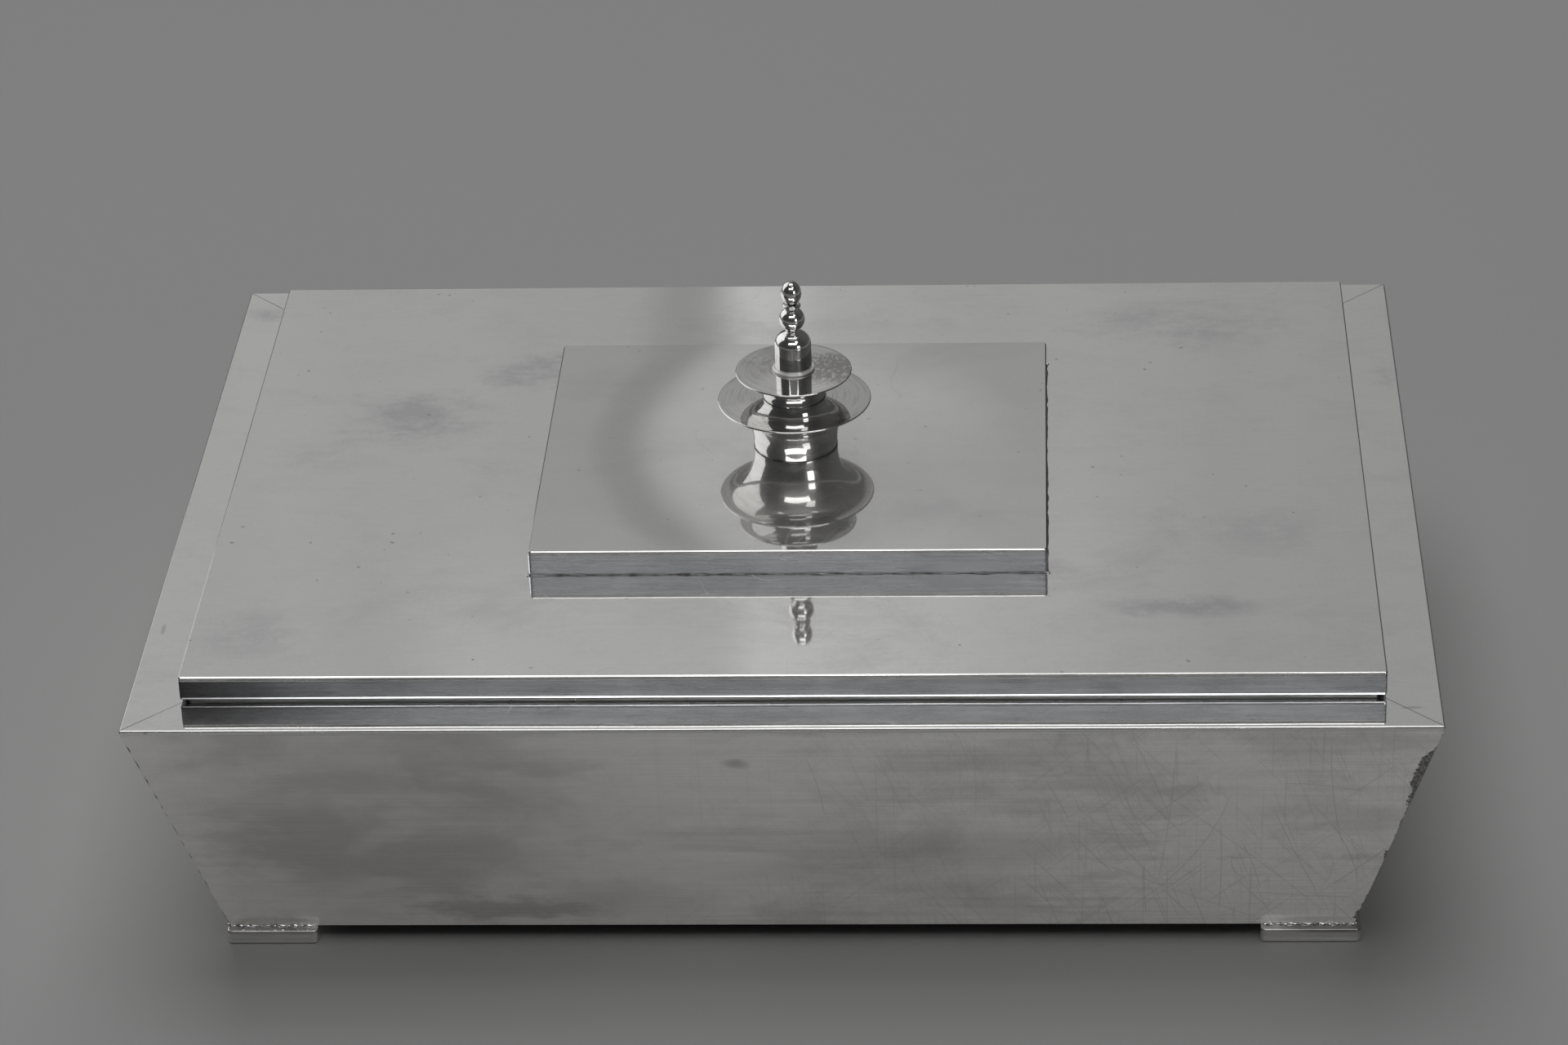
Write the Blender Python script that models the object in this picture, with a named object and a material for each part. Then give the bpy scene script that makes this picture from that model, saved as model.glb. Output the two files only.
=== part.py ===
# A silver box with a lift-off lid and a turned finial, standing on four block feet.
# Metres, +Z up, X along the length. The origin is on the ground under the box's centre.

import math

import bmesh
import bpy
from mathutils import Vector

# Case: four sheets that lean outwards from the base up to the rim
RIM_LENGTH = 0.300
RIM_DEPTH = 0.226
CASE_HEIGHT = 0.0642
WALL_LEAN = 0.018
WALL_THICKNESS = 0.0012
BASE_THICKNESS = 0.0012
RIM_THICKNESS = 0.0012
RIM_EDGE_RADIUS = 0.0005

# Feet: blocks under the corners, a little proud of the case at the front and back
FOOT_LENGTH = 0.0214
FOOT_DEPTH = 0.0214
FOOT_HEIGHT = 0.0036
FOOT_OVERHANG_DEPTH = 0.0024
FOOT_OVERHANG_LENGTH = 0.0004
FOOT_EDGE_RADIUS = 0.0008

# Collar: the upright band inside the rim that locates the lid and carries it
COLLAR_THICKNESS = 0.0010
COLLAR_DROP = 0.0040
COLLAR_CLEARANCE = 0.0005

# Lid: a flat sheet on four low walls, held a little off the rim by the collar
LID_MARGIN = 0.0125
LID_HEIGHT = 0.0060
LID_STANDOFF = 0.0009
LID_SHEET = 0.0012
LID_WALL_THICKNESS = 0.0012
LID_EDGE_RADIUS = 0.0006

# Step: the raised rectangle in the middle of the lid, made like the lid
STEP_LENGTH = 0.122
STEP_DEPTH = 0.1076
STEP_HEIGHT = 0.0064
STEP_SHEET = 0.0012
STEP_WALL_THICKNESS = 0.0012
STEP_EDGE_RADIUS = 0.0006
STEP_CORNER_RADIUS = 0.0009

# Lower saucer of the finial: heights are above the step
LOWER_FOOT_RADIUS = 0.0105
LOWER_WAIST_RADIUS = 0.0102
LOWER_WAIST_HEIGHT = 0.0015
LOWER_RIM_RADIUS = 0.01855
LOWER_RIM_HEIGHT = 0.0126
LOWER_SEAT_HEIGHT = 0.0133
LOWER_EDGE = 0.00045
LOWER_WALL = 0.0010
LOWER_WEB = 0.0020

# Upper saucer: heights are above the lower saucer's seat
UPPER_FOOT_RADIUS = 0.0078
UPPER_WAIST_RADIUS = 0.0076
UPPER_WAIST_HEIGHT = 0.0009
UPPER_RIM_RADIUS = 0.01407
UPPER_RIM_HEIGHT = 0.0069
UPPER_SEAT_HEIGHT = 0.0072
UPPER_EDGE = 0.0004
UPPER_WALL = 0.0010
UPPER_WEB = 0.0018

# Post: a bullet on a flat ring
POST_RING_RADIUS = 0.00516
POST_RING_THICKNESS = 0.0005
POST_FOOT_RADIUS = 0.00448
POST_SHOULDER_RADIUS = 0.00437
POST_SHAFT_HEIGHT = 0.0054
POST_DOME_HEIGHT = 0.0036
POST_NECK_RADIUS = 0.0016
POST_NECK_HEIGHT = 0.0004

# Bead, ring and egg at the top
BEAD_RADIUS = 0.0031
BEAD_SEAT_RADIUS = 0.0014
TIP_RING_RADIUS = 0.00223
TIP_RING_THICKNESS = 0.00075
TIP_RADIUS = 0.00246
TIP_HALF_HEIGHT = 0.0031
TIP_SEAT_RADIUS = 0.00113

# Fixings: a rod clamps the finial to the lid, and a pin strings the bead, ring and egg
ROD_RADIUS = 0.0015
ROD_BORE_DEPTH = 0.0045
ROD_TAIL = 0.0010
PIN_RADIUS = 0.0005
PIN_POST_DEPTH = 0.0030
PIN_TIP_DEPTH = 0.0025
WASHER_RADIUS = 0.0050
WASHER_THICKNESS = 0.0008
NUT_ACROSS_FLATS = 0.0055
NUT_THICKNESS = 0.0024
NUT_SIDES = 6

# Clearance between soldered pieces, and the allowances used in shaping them
JOINT_GAP = 0.0003
CUT_OVERRUN = 0.001
MERGE_DISTANCE = 0.000001
SHARP_ANGLE = math.radians(35)

# Roundness of the eased edges and of the turned pieces
EDGE_SEGMENTS = 3
LARGE_TURN_STEPS = 40
SMALL_TURN_STEPS = 24
FLARE_STEPS = 8
DOME_STEPS = 6
BALL_STEPS = 9

# Plan of the case's base and of the lid, each set in evenly from the rim
BASE_LENGTH = RIM_LENGTH - 2 * WALL_LEAN
BASE_DEPTH = RIM_DEPTH - 2 * WALL_LEAN
LID_LENGTH = RIM_LENGTH - 2 * LID_MARGIN
LID_DEPTH = RIM_DEPTH - 2 * LID_MARGIN

# Heights above the ground that several pieces share
CASE_BOTTOM = FOOT_HEIGHT
RIM_TOP = CASE_BOTTOM + CASE_HEIGHT
RIM_UNDERSIDE = RIM_TOP - RIM_THICKNESS
LID_BOTTOM = RIM_TOP + LID_STANDOFF
LID_TOP = LID_BOTTOM + LID_HEIGHT
LID_UNDERSIDE = LID_TOP - LID_SHEET
STEP_TOP = LID_TOP + STEP_HEIGHT
STEP_UNDERSIDE = STEP_TOP - STEP_SHEET

# Bores that the rod and the pin run in
ROD_BORE_RADIUS = ROD_RADIUS + JOINT_GAP
PIN_BORE_RADIUS = PIN_RADIUS + JOINT_GAP

SIDES = ("front", "right", "back", "left")

# Finishes: linear colour, roughness and metallic value
POLISHED_SILVER = ((0.78, 0.77, 0.75), 0.16, 1.0)
SATIN_SILVER = ((0.72, 0.71, 0.69), 0.28, 1.0)
INNER_SILVER = ((0.66, 0.65, 0.62), 0.34, 1.0)
TURNED_SILVER = ((0.74, 0.73, 0.71), 0.12, 1.0)
FIXING_STEEL = ((0.48, 0.47, 0.46), 0.38, 1.0)


def clear_scene():
    for obj in list(bpy.data.objects):
        bpy.data.objects.remove(obj, do_unlink=True)


def add_frame(name, height):
    """An empty that carries the pieces of one body."""
    frame = bpy.data.objects.new(name, None)
    frame.location = (0, 0, height)
    bpy.context.scene.collection.objects.link(frame)
    return frame


def add_material(name, finish):
    colour, roughness, metallic = finish
    material = bpy.data.materials.new(name)
    material.use_nodes = True
    shader = material.node_tree.nodes["Principled BSDF"]
    shader.inputs["Base Color"].default_value = (*colour, 1)
    shader.inputs["Roughness"].default_value = roughness
    shader.inputs["Metallic"].default_value = metallic
    return material


def add_piece(name, shape, frame, place, finish, smooth=False):
    """Makes a named piece of a shape, at a place in the world, carried by a frame."""
    bmesh.ops.recalc_face_normals(shape, faces=shape.faces)
    mesh = bpy.data.meshes.new(name)
    shape.to_mesh(mesh)
    shape.free()
    if smooth:
        mesh.shade_smooth()
        mesh.set_sharp_from_angle(angle=SHARP_ANGLE)
    if finish:
        mesh.materials.append(add_material(name, finish))
    piece = bpy.data.objects.new(name, mesh)
    bpy.context.scene.collection.objects.link(piece)
    piece.parent = frame
    piece.location = Vector(place) - frame.location
    return piece


def case_half_size(height):
    """Half length and half depth of the case's outer faces at a height above the ground."""
    share = (height - CASE_BOTTOM) / CASE_HEIGHT
    length = BASE_LENGTH + (RIM_LENGTH - BASE_LENGTH) * share
    depth = BASE_DEPTH + (RIM_DEPTH - BASE_DEPTH) * share
    return length / 2, depth / 2


def inset(half_size, distance):
    return half_size[0] - distance, half_size[1] - distance


def corners(half_size):
    """Corners in order: front left, front right, back right, back left."""
    length, depth = half_size
    return [
        Vector((-length, -depth)),
        Vector((length, -depth)),
        Vector((length, depth)),
        Vector((-length, depth)),
    ]


def strip_outline(outer, inner, index):
    """Outline of one side of a mitred frame, pulled back from both mitres."""
    following = (index + 1) % len(SIDES)
    outer_corners = corners(outer)
    inner_corners = corners(inner)
    along = (outer_corners[following] - outer_corners[index]).normalized()
    pull = along * (JOINT_GAP / math.sqrt(2))
    return [
        outer_corners[index] + pull,
        outer_corners[following] - pull,
        inner_corners[following] - pull,
        inner_corners[index] + pull,
    ]


def loft(levels):
    """A closed solid through two outlines of four points, each at its own height."""
    shape = bmesh.new()
    rings = [
        [shape.verts.new((point.x, point.y, height)) for point in outline]
        for height, outline in levels
    ]
    low, high = rings
    shape.faces.new(low[::-1])
    shape.faces.new(high)
    for index in range(len(low)):
        following = (index + 1) % len(low)
        shape.faces.new((low[index], low[following], high[following], high[index]))
    return shape


def round_edges(shape, chosen, radius):
    """Rounds the edges that the test picks by their two ends."""
    edges = [edge for edge in shape.edges if chosen(*(vert.co for vert in edge.verts))]
    bmesh.ops.bevel(
        shape,
        geom=edges,
        offset=radius,
        segments=EDGE_SEGMENTS,
        profile=0.5,
        affect="EDGES",
    )


def mitred_frame(prefix, low, high, frame, finish, edge_radius=0):
    """Four mitred strips. Low and high are each (height, outer, inner half sizes)."""
    base = low[0]
    rise = high[0] - base
    for index, side in enumerate(SIDES):
        shape = loft(
            [
                (0, strip_outline(low[1], low[2], index)),
                (rise, strip_outline(high[1], high[2], index)),
            ]
        )
        if edge_radius:
            start, end = strip_outline(high[1], high[2], index)[:2]
            middle = Vector((*((start + end) / 2), rise))

            def on_outer_edge(first, second):
                return ((first + second) / 2 - middle).length < MERGE_DISTANCE

            round_edges(shape, on_outer_edge, edge_radius)
        add_piece(f"{prefix}_{side}", shape, frame, (0, 0, base), finish)


def rounded_sheet(half_size, thickness, edge_radius, corner_radius=0):
    """A flat sheet with rounded top edges and, if asked for, rounded upright corners."""
    outline = corners(half_size)
    shape = loft([(0, outline), (thickness, outline)])
    if corner_radius:
        round_edges(shape, lambda first, second: first.z != second.z, corner_radius)
    round_edges(shape, lambda first, second: min(first.z, second.z) > thickness / 2, edge_radius)
    return shape


def turned(profile, steps):
    """A solid of revolution about Z, from (radius, height) points. A bored one closes on itself."""
    shape = bmesh.new()
    verts = [shape.verts.new((radius, 0, height)) for radius, height in profile]
    edges = [shape.edges.new(pair) for pair in zip(verts, verts[1:])]
    if profile[0][0] > 0:
        edges.append(shape.edges.new((verts[-1], verts[0])))
    bmesh.ops.spin(
        shape,
        geom=verts + edges,
        cent=(0, 0, 0),
        axis=(0, 0, 1),
        angle=math.tau,
        steps=steps,
        use_merge=True,
    )
    bmesh.ops.remove_doubles(shape, verts=shape.verts, dist=MERGE_DISTANCE)
    return shape


def ball_arc(radius, half_height, start_radius, end_radius):
    """Points down the outside of an upright egg, between two radii cut flat at its ends."""
    start = math.asin(start_radius / radius)
    end = math.pi - math.asin(end_radius / radius)
    angles = [start + (end - start) * step / BALL_STEPS for step in range(BALL_STEPS + 1)]
    return [(radius * math.sin(angle), half_height * math.cos(angle)) for angle in angles]


def make_case(frame):
    """The four leaning walls and the base sheet that lies between them."""
    wall_top = RIM_UNDERSIDE - JOINT_GAP
    levels = []
    for height in (CASE_BOTTOM, wall_top):
        outer = case_half_size(height)
        levels.append((height, outer, inset(outer, WALL_THICKNESS)))
    mitred_frame("wall", levels[0], levels[1], frame, SATIN_SILVER)

    base_top = CASE_BOTTOM + BASE_THICKNESS
    reach = WALL_THICKNESS + JOINT_GAP
    shape = loft(
        [
            (0, corners(inset(case_half_size(CASE_BOTTOM), reach))),
            (BASE_THICKNESS, corners(inset(case_half_size(base_top), reach))),
        ]
    )
    add_piece("base_sheet", shape, frame, (0, 0, CASE_BOTTOM), INNER_SILVER)


def make_feet(frame):
    """One block under each corner, with its upright and bottom edges rounded."""
    half_length, half_depth = case_half_size(CASE_BOTTOM)
    across = half_length + FOOT_OVERHANG_LENGTH - FOOT_LENGTH / 2
    along = half_depth + FOOT_OVERHANG_DEPTH - FOOT_DEPTH / 2
    block = corners((FOOT_LENGTH / 2, FOOT_DEPTH / 2))
    block_top = FOOT_HEIGHT - JOINT_GAP
    for end, depth_sign in (("front", -1), ("back", 1)):
        for side, length_sign in (("left", -1), ("right", 1)):
            shape = loft([(0, block), (block_top, block)])
            round_edges(
                shape,
                lambda first, second: min(first.z, second.z) < block_top / 2,
                FOOT_EDGE_RADIUS,
            )
            place = (length_sign * across, depth_sign * along, 0)
            add_piece(f"foot_{end}_{side}", shape, frame, place, TURNED_SILVER)


def collar_half_size():
    """Outer half size of the collar, a running clearance inside the lid's walls."""
    reach = LID_WALL_THICKNESS + COLLAR_CLEARANCE
    return inset((LID_LENGTH / 2, LID_DEPTH / 2), reach)


def make_rim(frame):
    """Four flat mitred strips on top of the walls, from the outer faces in to the collar."""
    opening = inset(collar_half_size(), -JOINT_GAP)
    low = (RIM_UNDERSIDE, case_half_size(RIM_UNDERSIDE), opening)
    high = (RIM_TOP, case_half_size(RIM_TOP), opening)
    mitred_frame("rim", low, high, frame, POLISHED_SILVER, RIM_EDGE_RADIUS)


def make_collar(frame):
    """The upright band that hangs from the rim's inner edge and stands up into the lid."""
    outer = collar_half_size()
    inner = inset(outer, COLLAR_THICKNESS)
    low = (RIM_TOP - COLLAR_DROP, outer, inner)
    high = (LID_UNDERSIDE - JOINT_GAP, outer, inner)
    mitred_frame("collar", low, high, frame, INNER_SILVER)


def prism(sides, radius, depth):
    """An upright prism centred on the origin, with its corners at a radius."""
    shape = bmesh.new()
    bmesh.ops.create_cone(
        shape,
        cap_ends=True,
        segments=sides,
        radius1=radius,
        radius2=radius,
        depth=depth,
    )
    return shape


def drill(piece, frame):
    """Bores the rod's hole right through a piece, along the finial's axis."""
    heights = [vert.co.z for vert in piece.data.vertices]
    depth = max(heights) - min(heights) + 2 * CUT_OVERRUN
    middle = piece.location.z + frame.location.z + (max(heights) + min(heights)) / 2
    shape = prism(SMALL_TURN_STEPS, ROD_BORE_RADIUS, depth)
    cutter = add_piece(f"{piece.name}_drill", shape, frame, (0, 0, middle), None)
    cutter.hide_render = True
    cutter.display_type = "WIRE"

    hole = piece.modifiers.new("rod_hole", "BOOLEAN")
    hole.operation = "DIFFERENCE"
    hole.solver = "EXACT"
    hole.object = cutter


def make_lid(frame):
    """The lid's sheet and the four low walls soldered under its edge."""
    half_size = (LID_LENGTH / 2, LID_DEPTH / 2)
    shape = rounded_sheet(half_size, LID_SHEET, LID_EDGE_RADIUS)
    sheet = add_piece("lid_top", shape, frame, (0, 0, LID_UNDERSIDE), POLISHED_SILVER)
    drill(sheet, frame)

    inner = inset(half_size, LID_WALL_THICKNESS)
    low = (LID_BOTTOM, half_size, inner)
    high = (LID_UNDERSIDE - JOINT_GAP, half_size, inner)
    mitred_frame("lid_wall", low, high, frame, SATIN_SILVER)


def make_step(frame):
    """The raised rectangle: its sheet and its four walls, standing on the lid."""
    half_size = (STEP_LENGTH / 2, STEP_DEPTH / 2)
    shape = rounded_sheet(half_size, STEP_SHEET, STEP_EDGE_RADIUS, STEP_CORNER_RADIUS)
    sheet = add_piece("step_top", shape, frame, (0, 0, STEP_UNDERSIDE), POLISHED_SILVER)
    drill(sheet, frame)

    inner = inset(half_size, STEP_WALL_THICKNESS)
    low = (LID_TOP + JOINT_GAP, half_size, inner)
    high = (STEP_UNDERSIDE - JOINT_GAP, half_size, inner)
    mitred_frame("step_wall", low, high, frame, SATIN_SILVER)


def saucer_profile(foot, waist, waist_height, rim, rim_height, seat, seat_height, edge, wall, web):
    """A saucer on a flared stem, hollowed from below, with a bore through its web.

    Heights are above the piece's own foot. The flare is a quarter of an ellipse that
    leaves the waist upright and meets the underside of the rim lying flat.
    """
    under_rim = rim_height - edge
    profile = [(ROD_BORE_RADIUS, seat_height), (seat, seat_height)]
    profile += [(rim, rim_height), (rim, under_rim)]
    for step in range(1, FLARE_STEPS + 1):
        angle = math.pi / 2 * (1 - step / FLARE_STEPS)
        radius = rim - edge - (rim - edge - waist) * math.cos(angle)
        height = waist_height + (under_rim - waist_height) * math.sin(angle)
        profile.append((radius, height))
    hollow = waist - wall
    ceiling = seat_height - web
    profile += [(foot, 0), (hollow, 0), (hollow, ceiling), (ROD_BORE_RADIUS, ceiling)]
    return profile


def make_saucers(frame):
    """The two saucers, one on the other. Returns the height of the upper one's seat."""
    lower_foot = STEP_TOP + JOINT_GAP
    profile = saucer_profile(
        LOWER_FOOT_RADIUS,
        LOWER_WAIST_RADIUS,
        LOWER_WAIST_HEIGHT,
        LOWER_RIM_RADIUS,
        LOWER_RIM_HEIGHT - JOINT_GAP,
        UPPER_FOOT_RADIUS,
        LOWER_SEAT_HEIGHT - JOINT_GAP,
        LOWER_EDGE,
        LOWER_WALL,
        LOWER_WEB,
    )
    shape = turned(profile, LARGE_TURN_STEPS)
    add_piece("finial_lower_saucer", shape, frame, (0, 0, lower_foot), TURNED_SILVER, True)

    lower_seat = STEP_TOP + LOWER_SEAT_HEIGHT
    profile = saucer_profile(
        UPPER_FOOT_RADIUS,
        UPPER_WAIST_RADIUS,
        UPPER_WAIST_HEIGHT,
        UPPER_RIM_RADIUS,
        UPPER_RIM_HEIGHT - JOINT_GAP,
        POST_RING_RADIUS,
        UPPER_SEAT_HEIGHT - JOINT_GAP,
        UPPER_EDGE,
        UPPER_WALL,
        UPPER_WEB,
    )
    shape = turned(profile, LARGE_TURN_STEPS)
    upper_foot = (0, 0, lower_seat + JOINT_GAP)
    add_piece("finial_upper_saucer", shape, frame, upper_foot, TURNED_SILVER, True)
    return lower_seat + UPPER_SEAT_HEIGHT


def add_ring(name, radius, bore, thickness, frame, bottom):
    """A flat ring with a rounded rim. Returns the height of its top."""
    rounding = thickness / 2
    profile = [(bore, thickness)]
    for step in range(DOME_STEPS + 1):
        angle = math.pi * step / DOME_STEPS
        reach = radius - rounding + rounding * math.sin(angle)
        profile.append((reach, rounding + rounding * math.cos(angle)))
    profile.append((bore, 0))
    shape = turned(profile, SMALL_TURN_STEPS)
    add_piece(name, shape, frame, (0, 0, bottom), TURNED_SILVER, True)
    return bottom + thickness


def make_post(frame, bottom):
    """The bullet: a slightly tapered shaft, an elliptical dome and a short neck."""
    dome_reach = math.acos(POST_NECK_RADIUS / POST_SHOULDER_RADIUS)
    neck_bottom = POST_SHAFT_HEIGHT + POST_DOME_HEIGHT * math.sin(dome_reach)
    top = neck_bottom + POST_NECK_HEIGHT
    profile = [(0, top - PIN_POST_DEPTH), (PIN_BORE_RADIUS, top - PIN_POST_DEPTH)]
    profile += [(PIN_BORE_RADIUS, top), (POST_NECK_RADIUS, top)]
    for step in range(DOME_STEPS + 1):
        angle = dome_reach * (1 - step / DOME_STEPS)
        radius = POST_SHOULDER_RADIUS * math.cos(angle)
        profile.append((radius, POST_SHAFT_HEIGHT + POST_DOME_HEIGHT * math.sin(angle)))
    profile += [(POST_FOOT_RADIUS, 0), (ROD_BORE_RADIUS, 0)]
    profile += [(ROD_BORE_RADIUS, ROD_BORE_DEPTH), (0, ROD_BORE_DEPTH)]
    shape = turned(profile, SMALL_TURN_STEPS)
    add_piece("finial_post", shape, frame, (0, 0, bottom), TURNED_SILVER, True)
    return bottom + top


def make_bead(frame, bottom):
    arc = ball_arc(BEAD_RADIUS, BEAD_RADIUS, BEAD_SEAT_RADIUS, BEAD_SEAT_RADIUS)
    lift = -arc[-1][1]
    profile = [(PIN_BORE_RADIUS, arc[0][1] + lift)]
    profile += [(radius, height + lift) for radius, height in arc]
    profile.append((PIN_BORE_RADIUS, 0))
    shape = turned(profile, SMALL_TURN_STEPS)
    add_piece("finial_bead", shape, frame, (0, 0, bottom), TURNED_SILVER, True)
    return bottom + 2 * lift


def make_tip(frame, bottom):
    """The egg, closed at the top and drilled from below for the pin."""
    arc = ball_arc(TIP_RADIUS, TIP_HALF_HEIGHT, 0, TIP_SEAT_RADIUS)
    lift = -arc[-1][1]
    profile = [(0, arc[0][1] + lift)]
    profile += [(radius, height + lift) for radius, height in arc[1:]]
    profile += [(PIN_BORE_RADIUS, 0), (PIN_BORE_RADIUS, PIN_TIP_DEPTH), (0, PIN_TIP_DEPTH)]
    shape = turned(profile, SMALL_TURN_STEPS)
    add_piece("finial_tip", shape, frame, (0, 0, bottom), TURNED_SILVER, True)


def add_bar(name, radius, bottom, top, frame):
    """A plain round bar between two heights."""
    rise = top - bottom
    shape = turned([(0, rise), (radius, rise), (radius, 0), (0, 0)], SMALL_TURN_STEPS)
    add_piece(name, shape, frame, (0, 0, bottom), FIXING_STEEL, True)


def make_washer_and_nut(frame):
    """Both sit under the lid's sheet. Returns the height of the nut's lower face."""
    washer_bottom = LID_UNDERSIDE - JOINT_GAP - WASHER_THICKNESS
    profile = [(ROD_BORE_RADIUS, WASHER_THICKNESS), (WASHER_RADIUS, WASHER_THICKNESS)]
    profile += [(WASHER_RADIUS, 0), (ROD_BORE_RADIUS, 0)]
    shape = turned(profile, SMALL_TURN_STEPS)
    add_piece("finial_washer", shape, frame, (0, 0, washer_bottom), FIXING_STEEL, True)

    nut_bottom = washer_bottom - JOINT_GAP - NUT_THICKNESS
    corner_radius = NUT_ACROSS_FLATS / 2 / math.cos(math.pi / NUT_SIDES)
    shape = prism(NUT_SIDES, corner_radius, NUT_THICKNESS)
    middle = nut_bottom + NUT_THICKNESS / 2
    nut = add_piece("finial_nut", shape, frame, (0, 0, middle), FIXING_STEEL)
    drill(nut, frame)
    return nut_bottom


def make_finial(frame):
    """Everything on the rod and the pin, from the step upwards, then the fixings."""
    seat = make_saucers(frame)
    ring_top = add_ring(
        "finial_post_ring",
        POST_RING_RADIUS,
        ROD_BORE_RADIUS,
        POST_RING_THICKNESS,
        frame,
        seat + JOINT_GAP,
    )
    post_bottom = ring_top + JOINT_GAP
    post_top = make_post(frame, post_bottom)
    bead_top = make_bead(frame, post_top + JOINT_GAP)
    tip_ring_top = add_ring(
        "finial_tip_ring",
        TIP_RING_RADIUS,
        PIN_BORE_RADIUS,
        TIP_RING_THICKNESS,
        frame,
        bead_top + JOINT_GAP,
    )
    tip_bottom = tip_ring_top + JOINT_GAP
    make_tip(frame, tip_bottom)

    nut_bottom = make_washer_and_nut(frame)
    rod_top = post_bottom + ROD_BORE_DEPTH - JOINT_GAP
    add_bar("finial_rod", ROD_RADIUS, nut_bottom - ROD_TAIL, rod_top, frame)
    pin_bottom = post_top - PIN_POST_DEPTH + JOINT_GAP
    pin_top = tip_bottom + PIN_TIP_DEPTH - JOINT_GAP
    add_bar("finial_pin", PIN_RADIUS, pin_bottom, pin_top, frame)


def main():
    clear_scene()
    case = add_frame("case", 0)
    lid = add_frame("lid", LID_BOTTOM)
    make_case(case)
    make_feet(case)
    make_rim(case)
    make_collar(case)
    make_lid(lid)
    make_step(lid)
    make_finial(lid)


main()
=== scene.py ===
import math

import bmesh
import bpy
import numpy as np
from mathutils import Matrix, Vector


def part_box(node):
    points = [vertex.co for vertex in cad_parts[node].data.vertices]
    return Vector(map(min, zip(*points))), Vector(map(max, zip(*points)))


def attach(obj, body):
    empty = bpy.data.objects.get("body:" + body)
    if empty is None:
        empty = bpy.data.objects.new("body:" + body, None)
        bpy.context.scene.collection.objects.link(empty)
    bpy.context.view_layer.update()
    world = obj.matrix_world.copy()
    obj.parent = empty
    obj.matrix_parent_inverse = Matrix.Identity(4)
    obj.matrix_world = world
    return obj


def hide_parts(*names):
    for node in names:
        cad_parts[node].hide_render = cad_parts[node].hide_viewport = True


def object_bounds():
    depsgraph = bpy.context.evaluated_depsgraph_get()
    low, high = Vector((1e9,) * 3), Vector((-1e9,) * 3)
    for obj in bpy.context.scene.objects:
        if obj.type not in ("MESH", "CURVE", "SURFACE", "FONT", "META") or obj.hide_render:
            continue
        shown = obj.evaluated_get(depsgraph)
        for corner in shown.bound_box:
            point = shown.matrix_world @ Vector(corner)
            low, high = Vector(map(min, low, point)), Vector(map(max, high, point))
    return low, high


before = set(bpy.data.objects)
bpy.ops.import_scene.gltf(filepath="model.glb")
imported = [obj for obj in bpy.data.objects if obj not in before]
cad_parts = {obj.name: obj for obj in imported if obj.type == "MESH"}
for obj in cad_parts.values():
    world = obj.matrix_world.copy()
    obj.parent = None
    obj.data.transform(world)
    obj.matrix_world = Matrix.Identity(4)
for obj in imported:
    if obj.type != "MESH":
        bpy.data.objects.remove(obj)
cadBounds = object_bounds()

mm = 0.001
hair = 0.02 * mm
sides = ("front", "right", "back", "left")
cornerSigns = ((-1, -1), (1, -1), (1, 1), (-1, 1))
joining = {"reach": 0.0005 * mm, "sharpAngle": 32}


# Shapes

def unit(vector):
    return vector / np.linalg.norm(vector)


def camelName(node):
    # lid_wall_front becomes lidWallFront.
    return node[0] + node.title().replace("_", "")[1:]


def fullTurn(steps):
    return np.linspace(0, 2 * math.pi, steps, endpoint=False)


def aroundAxis(radius, turn, height):
    # Places at a radius and a turn about Z: (r cos t, r sin t, height).
    places = np.broadcast_arrays(radius * np.cos(turn), radius * np.sin(turn), height)
    return np.stack(places, axis=-1)


def ellipseArc(centre, radii, start, end, steps):
    # Places on an ellipse, centre + (a cos t, b sin t), from one turn t to another in degrees.
    turn = np.radians(np.linspace(start, end, steps))
    return np.column_stack([radii[0] * np.cos(turn), radii[1] * np.sin(turn)]) + centre


def roundedOutline(corners, radii, steps=7):
    # A closed outline whose corners are arcs. An arc touches its sides at radius / tan(half the
    # corner's angle) from the corner, about a centre on the bisector at radius / sin(that half).
    # One more point past each end keeps the flat sides flat under smooth shading.
    corners = [np.array(corner, float) for corner in corners]
    parts = []
    for index, (corner, radius) in enumerate(zip(corners, radii)):
        if radius == 0:
            parts.append([corner])
            continue
        back = unit(corners[index - 1] - corner)
        ahead = unit(corners[(index + 1) % len(corners)] - corner)
        half = math.acos(back @ ahead) / 2
        turn = math.pi - 2 * half
        reach = radius / math.tan(half)
        centre = corner + unit(back + ahead) * radius / math.sin(half)
        start = corner + back * reach - centre
        end = corner + ahead * reach - centre
        share = np.linspace(0, 1, steps + 1)[:, None]
        arc = (np.sin((1 - share) * turn) * start + np.sin(share * turn) * end) / math.sin(turn)
        hold = 1.2 * reach
        parts += [[corner + back * hold], centre + arc, [corner + ahead * hold]]
    return np.vstack(parts)


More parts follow.
